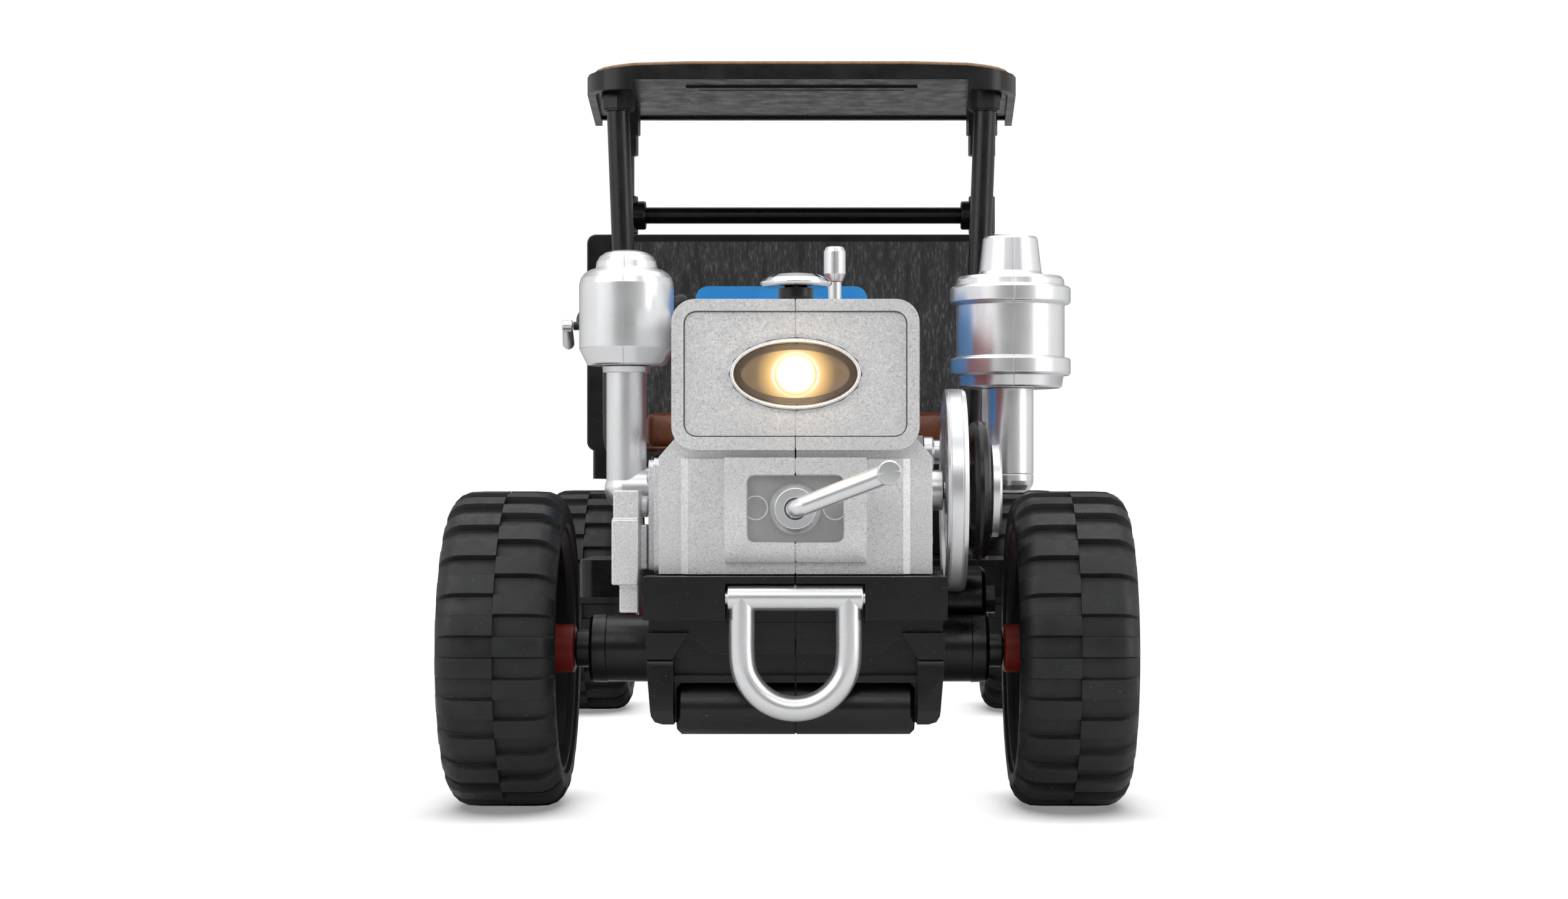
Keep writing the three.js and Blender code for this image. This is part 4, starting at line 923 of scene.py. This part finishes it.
def handlebars():
    route = [(28, 40, 71), (28.6, 40.6, 74), (35, 43.5, 77.5), (43, 46, 80), (48.4, 48, 86), (49.3, 50, 95),
             (49.6, 52, 107), (51, 53.6, 115.5), (54, 56, 119.1), (55.1, 60, 119.6), (55.3, 64, 119.5)]
    cable = [(51.4, 54.4, 116), (54.2, 50.6, 117.5), (58.4, 50.4, 117.6)]
    for label, side in SIDES:
        parts = [swept([(side * x, y, z) for x, y, z in route], 1.5, 20, 8),
                 swept([(side * x, y, z) for x, y, z in cable], 1.1, 16, 4)]
        if side < 0:
            lever = [(-17, 40, 71), (-21, 41, 84), (-28, 43, 104), (-30.2, 44.5, 121.6)]
            parts.append(swept(lever, 1.1, 20, 8))
            parts.append(swept([(-17.5, 40, 72.2), (-28.2, 40.2, 72.2)], 1.2, 16, 1))
            knob = [(2.7 * sin(a), -2.7 * cos(a)) for a in np.linspace(0, pi, 14)]
            parts.append(turned("z", knob, (-30.2, 44.5, 122.9), 32, 0.1))
        piece(f"bar_{label}", parts, BLACK, "tractor", (f"handlebar_{label}",))
        start, end = Vector((side * 55.1, 58.6, 119.65)), Vector((side * 55.6, 72.2, 119.2))
        ribs = [start.lerp(end, t / 27) for t in range(28)]
        grip = swept(ribs, lambda share: 3.2 + 0.25 * share + (0.2 if round(share * 27) % 2 else 0), 32, 1, True)
        piece(f"rubber_grip_{label}", [grip], BLACK, "tractor", (f"grip_{label}",), sharp=60)
        near, far = Vector((side * 60, 50.4, 117.6)), Vector((side * 61.4, 68, 114))
        bow = near.lerp(far, 0.5) + Vector((0, 0, 0.4))
        lever = swept([near, bow, far], lambda share: 1.25 + 0.3 * share, 20, 10, True)
        eye = turned("x", [(0, -1.3), (1.5, -1.3), (1.5, 1.3), (0, 1.3)], tuple(near), 24, 0.3)
        piece(f"brake_lever_{label}", [lever, eye], SATIN, f"lever_{label}", (f"squeeze_lever_{label}",))


# ---------------------------------------------------------------- trailer


def wood_panel():
    """The wall's panel, with long upright grain carved into its face."""
    low, high = mm_box("wall_panel")
    columns, rows = 180, 40
    face_y = low.y + 0.25
    vertices, faces = [], []
    for j in range(rows + 1):
        for i in range(columns + 1):
            x = low.x + (high.x - low.x) * i / columns
            z = low.z + (high.z - low.z) * j / rows
            grain = noise.fractal(Vector((x * 0.75, 3.1, z * 0.06)), 1.0, 2.0, 4)
            wave = noise.noise(Vector((x * 0.2, 7.7, z * 0.03)))
            edge = min(i, columns - i, j, rows - j) == 0
            vertices.append((x, face_y - (0 if edge else 0.12 * grain + 0.08 * wave), z))
    across = columns + 1
    for j in range(rows):
        for i in range(columns):
            a = j * across + i
            faces.append((a, a + 1, a + 1 + across, a + across))
    border = list(range(across)) + [j * across + columns for j in range(1, rows + 1)]
    border += [rows * across + i for i in range(columns - 1, -1, -1)]
    border += [j * across for j in range(rows - 1, 0, -1)]
    start = len(vertices)
    vertices += [(vertices[i][0], high.y, vertices[i][2]) for i in border]
    count = len(border)
    for k in range(count):
        n = (k + 1) % count
        faces.append((border[k], start + k, start + n, border[n]))
    faces.append(tuple(range(start, start + count)))
    piece("grained_panel", [outward(vertices, faces)], WOOD, "trailer", ("wall_panel",), sharp=50)


def cushion():
    """A stuffed seat pad: a rounded block blown up as cloth, with a flat underside and a sewn welt."""
    low, high = mm_box("seat_cushion")
    inset = Vector((1.6, 1.8, 1.7))
    a, b = low + inset, high - inset
    mesh = bpy.data.meshes.new("seat_pad")
    part = slab("x", soften([(a.y, a.z), (b.y, a.z), (b.y, b.z), (a.y, b.z)], 2.2, True), a.x, b.x)
    mesh.from_pydata([at(*v) for v in part[0]], [], part[1])
    obj = bpy.data.objects.new("seat_pad", mesh)
    scene.collection.objects.link(obj)
    remesh = obj.modifiers.new("remesh", "REMESH")
    remesh.mode = "VOXEL"
    remesh.voxel_size = 1.5 * MM
    apply_modifiers(obj)
    before = [v.co.copy() for v in obj.data.vertices]
    inflate(obj)
    limit = 1.9 * MM
    for v, rest in zip(obj.data.vertices, before):
        step = v.co - rest
        if step.length > limit:
            v.co = rest + step.normalized() * limit
    floor_z = at(0, 0, low.z + 0.15).z
    width = b.x - a.x
    for v in obj.data.vertices:
        x = (v.co.x / MM - a.x) / width
        z = v.co.z / MM
        channel = min(abs(x - 1 / 3), abs(x - 2 / 3)) * width
        if z > (low.z + high.z) / 2:
            v.co.z -= 0.75 * exp(-((channel / 1.1) ** 2)) * MM
        v.co.z = max(v.co.z, floor_z)
    subdivide = obj.modifiers.new("fine", "SUBSURF")
    subdivide.levels = subdivide.render_levels = 1
    apply_modifiers(obj)
    obj.data.polygons.foreach_set("use_smooth", [True] * len(obj.data.polygons))
    finish_piece(obj, LEATHER, "trailer", ("seat_cushion",))
    welt_z = low.z + 1.6
    path = [(low.x + 2.6, high.y - 2, welt_z), (low.x + 1.1, high.y - 6, welt_z), (low.x + 1.1, low.y + 5, welt_z),
            (low.x + 4, low.y + 1.1, welt_z), (0, low.y + 1.0, welt_z), (high.x - 4, low.y + 1.1, welt_z),
            (high.x - 1.1, low.y + 5, welt_z), (high.x - 1.1, high.y - 6, welt_z), (high.x - 2.6, high.y - 2, welt_z)]
    piece("seat_welt", [swept(path, 0.55, 10, 8, True)], LEATHER, "trailer")


def apply_modifiers(obj):
    depsgraph = bpy.context.evaluated_depsgraph_get()
    mesh = bpy.data.meshes.new_from_object(obj.evaluated_get(depsgraph))
    obj.modifiers.clear()
    obj.data = mesh


def inflate(obj):
    cloth = obj.modifiers.new("cloth", "CLOTH")
    cloth.settings.use_pressure = True
    cloth.settings.uniform_pressure_force = 4
    cloth.settings.effector_weights.gravity = 0
    cloth.settings.quality = 5
    cloth.point_cache.frame_start, cloth.point_cache.frame_end = 1, 20
    for step in range(1, 21):
        scene.frame_set(step)
    apply_modifiers(obj)
    scene.frame_set(1)


def trailer():
    for node, width in (("trailer_frame", 0.7), ("seat_base", 0.6), ("front_wall", 0.6), ("canopy_roof", 0.7)):
        dress(node, BLACK, width, 3)
    dress("cargo_bed", BLACK, 0.5)
    dress("tailgate", BLACK, 0.5)
    dress("battery_pack", GREY, 0.8, 3)
    dress("power_switch", GREY, 0.4)
    dress("roof_skin", TAN, 0.3)
    wood_panel()
    cushion()


def canopy_posts():
    low = mm_box("front_post_left")[0]
    foot_x, top_x = 46, 50.5
    foot = [(3, 0), (4.4, 0), (4.4, 1.2), (4.1, 1.9), (3.9, 4.2), (3, 4.2)]
    for label, side in SIDES:
        start, end = Vector((side * foot_x, 97, low.z)), Vector((side * top_x, 97, 178))
        path = [start.lerp(end, t / 12) for t in range(13)] + [Vector((side * top_x, 97, 186.1))]
        post = swept(path, 3.1, 36, 1)
        base = turned("z", [(r, low.z + h) for r, h in foot], (side * foot_x, 97, 0), 40, 0.3, True)
        piece(f"canopy_post_{label}", [post, base], BLACK, "trailer", (f"front_post_{label}",))
    low, high = mm_box("rear_hoop")
    y, radius, bar_z = (low.y + high.y) / 2, 2.8, 156.3
    x = high.x - radius
    parts = [turned("x", [(0, -x), (2.4, -x), (2.4, x), (0, x)], (0, y, bar_z), 40, 0.1)]
    for side in (-1, 1):
        upright = [(0, low.z), (4.3, low.z), (4.3, low.z + 3), (radius, low.z + 4.2), (radius, high.z), (0, high.z)]
        parts.append(turned("z", upright, (side * x, y, 0), 40, 0.3))
        inner, outer = side * 46.5, side * (x - 1)
        parts.append(turned("x", [(2.2, inner), (3.9, inner), (4.2, inner + side * 0.4), (4.2, outer), (2.2, outer)],
                            (0, y, bar_z), 40, 0.15, True))
        collar = [(2.5, -5.6), (3.7, -5.6), (3.9, -5.2), (3.9, 5.2), (3.7, 5.6), (2.5, 5.6)]
        parts.append(turned("z", collar, (side * x, y, bar_z), 40, 0.15, True))
    piece("hoop", parts, BLACK, "trailer", ("rear_hoop",))


# ---------------------------------------------------------------- build

add_camera()
add_studio()
engine_and_hopper()
headlight()
crank_and_cap()
throttle()
stacks()
flywheel()
chassis_and_gearbox()
tow_ring()
wheels()
handlebars()
trailer()
canopy_posts()
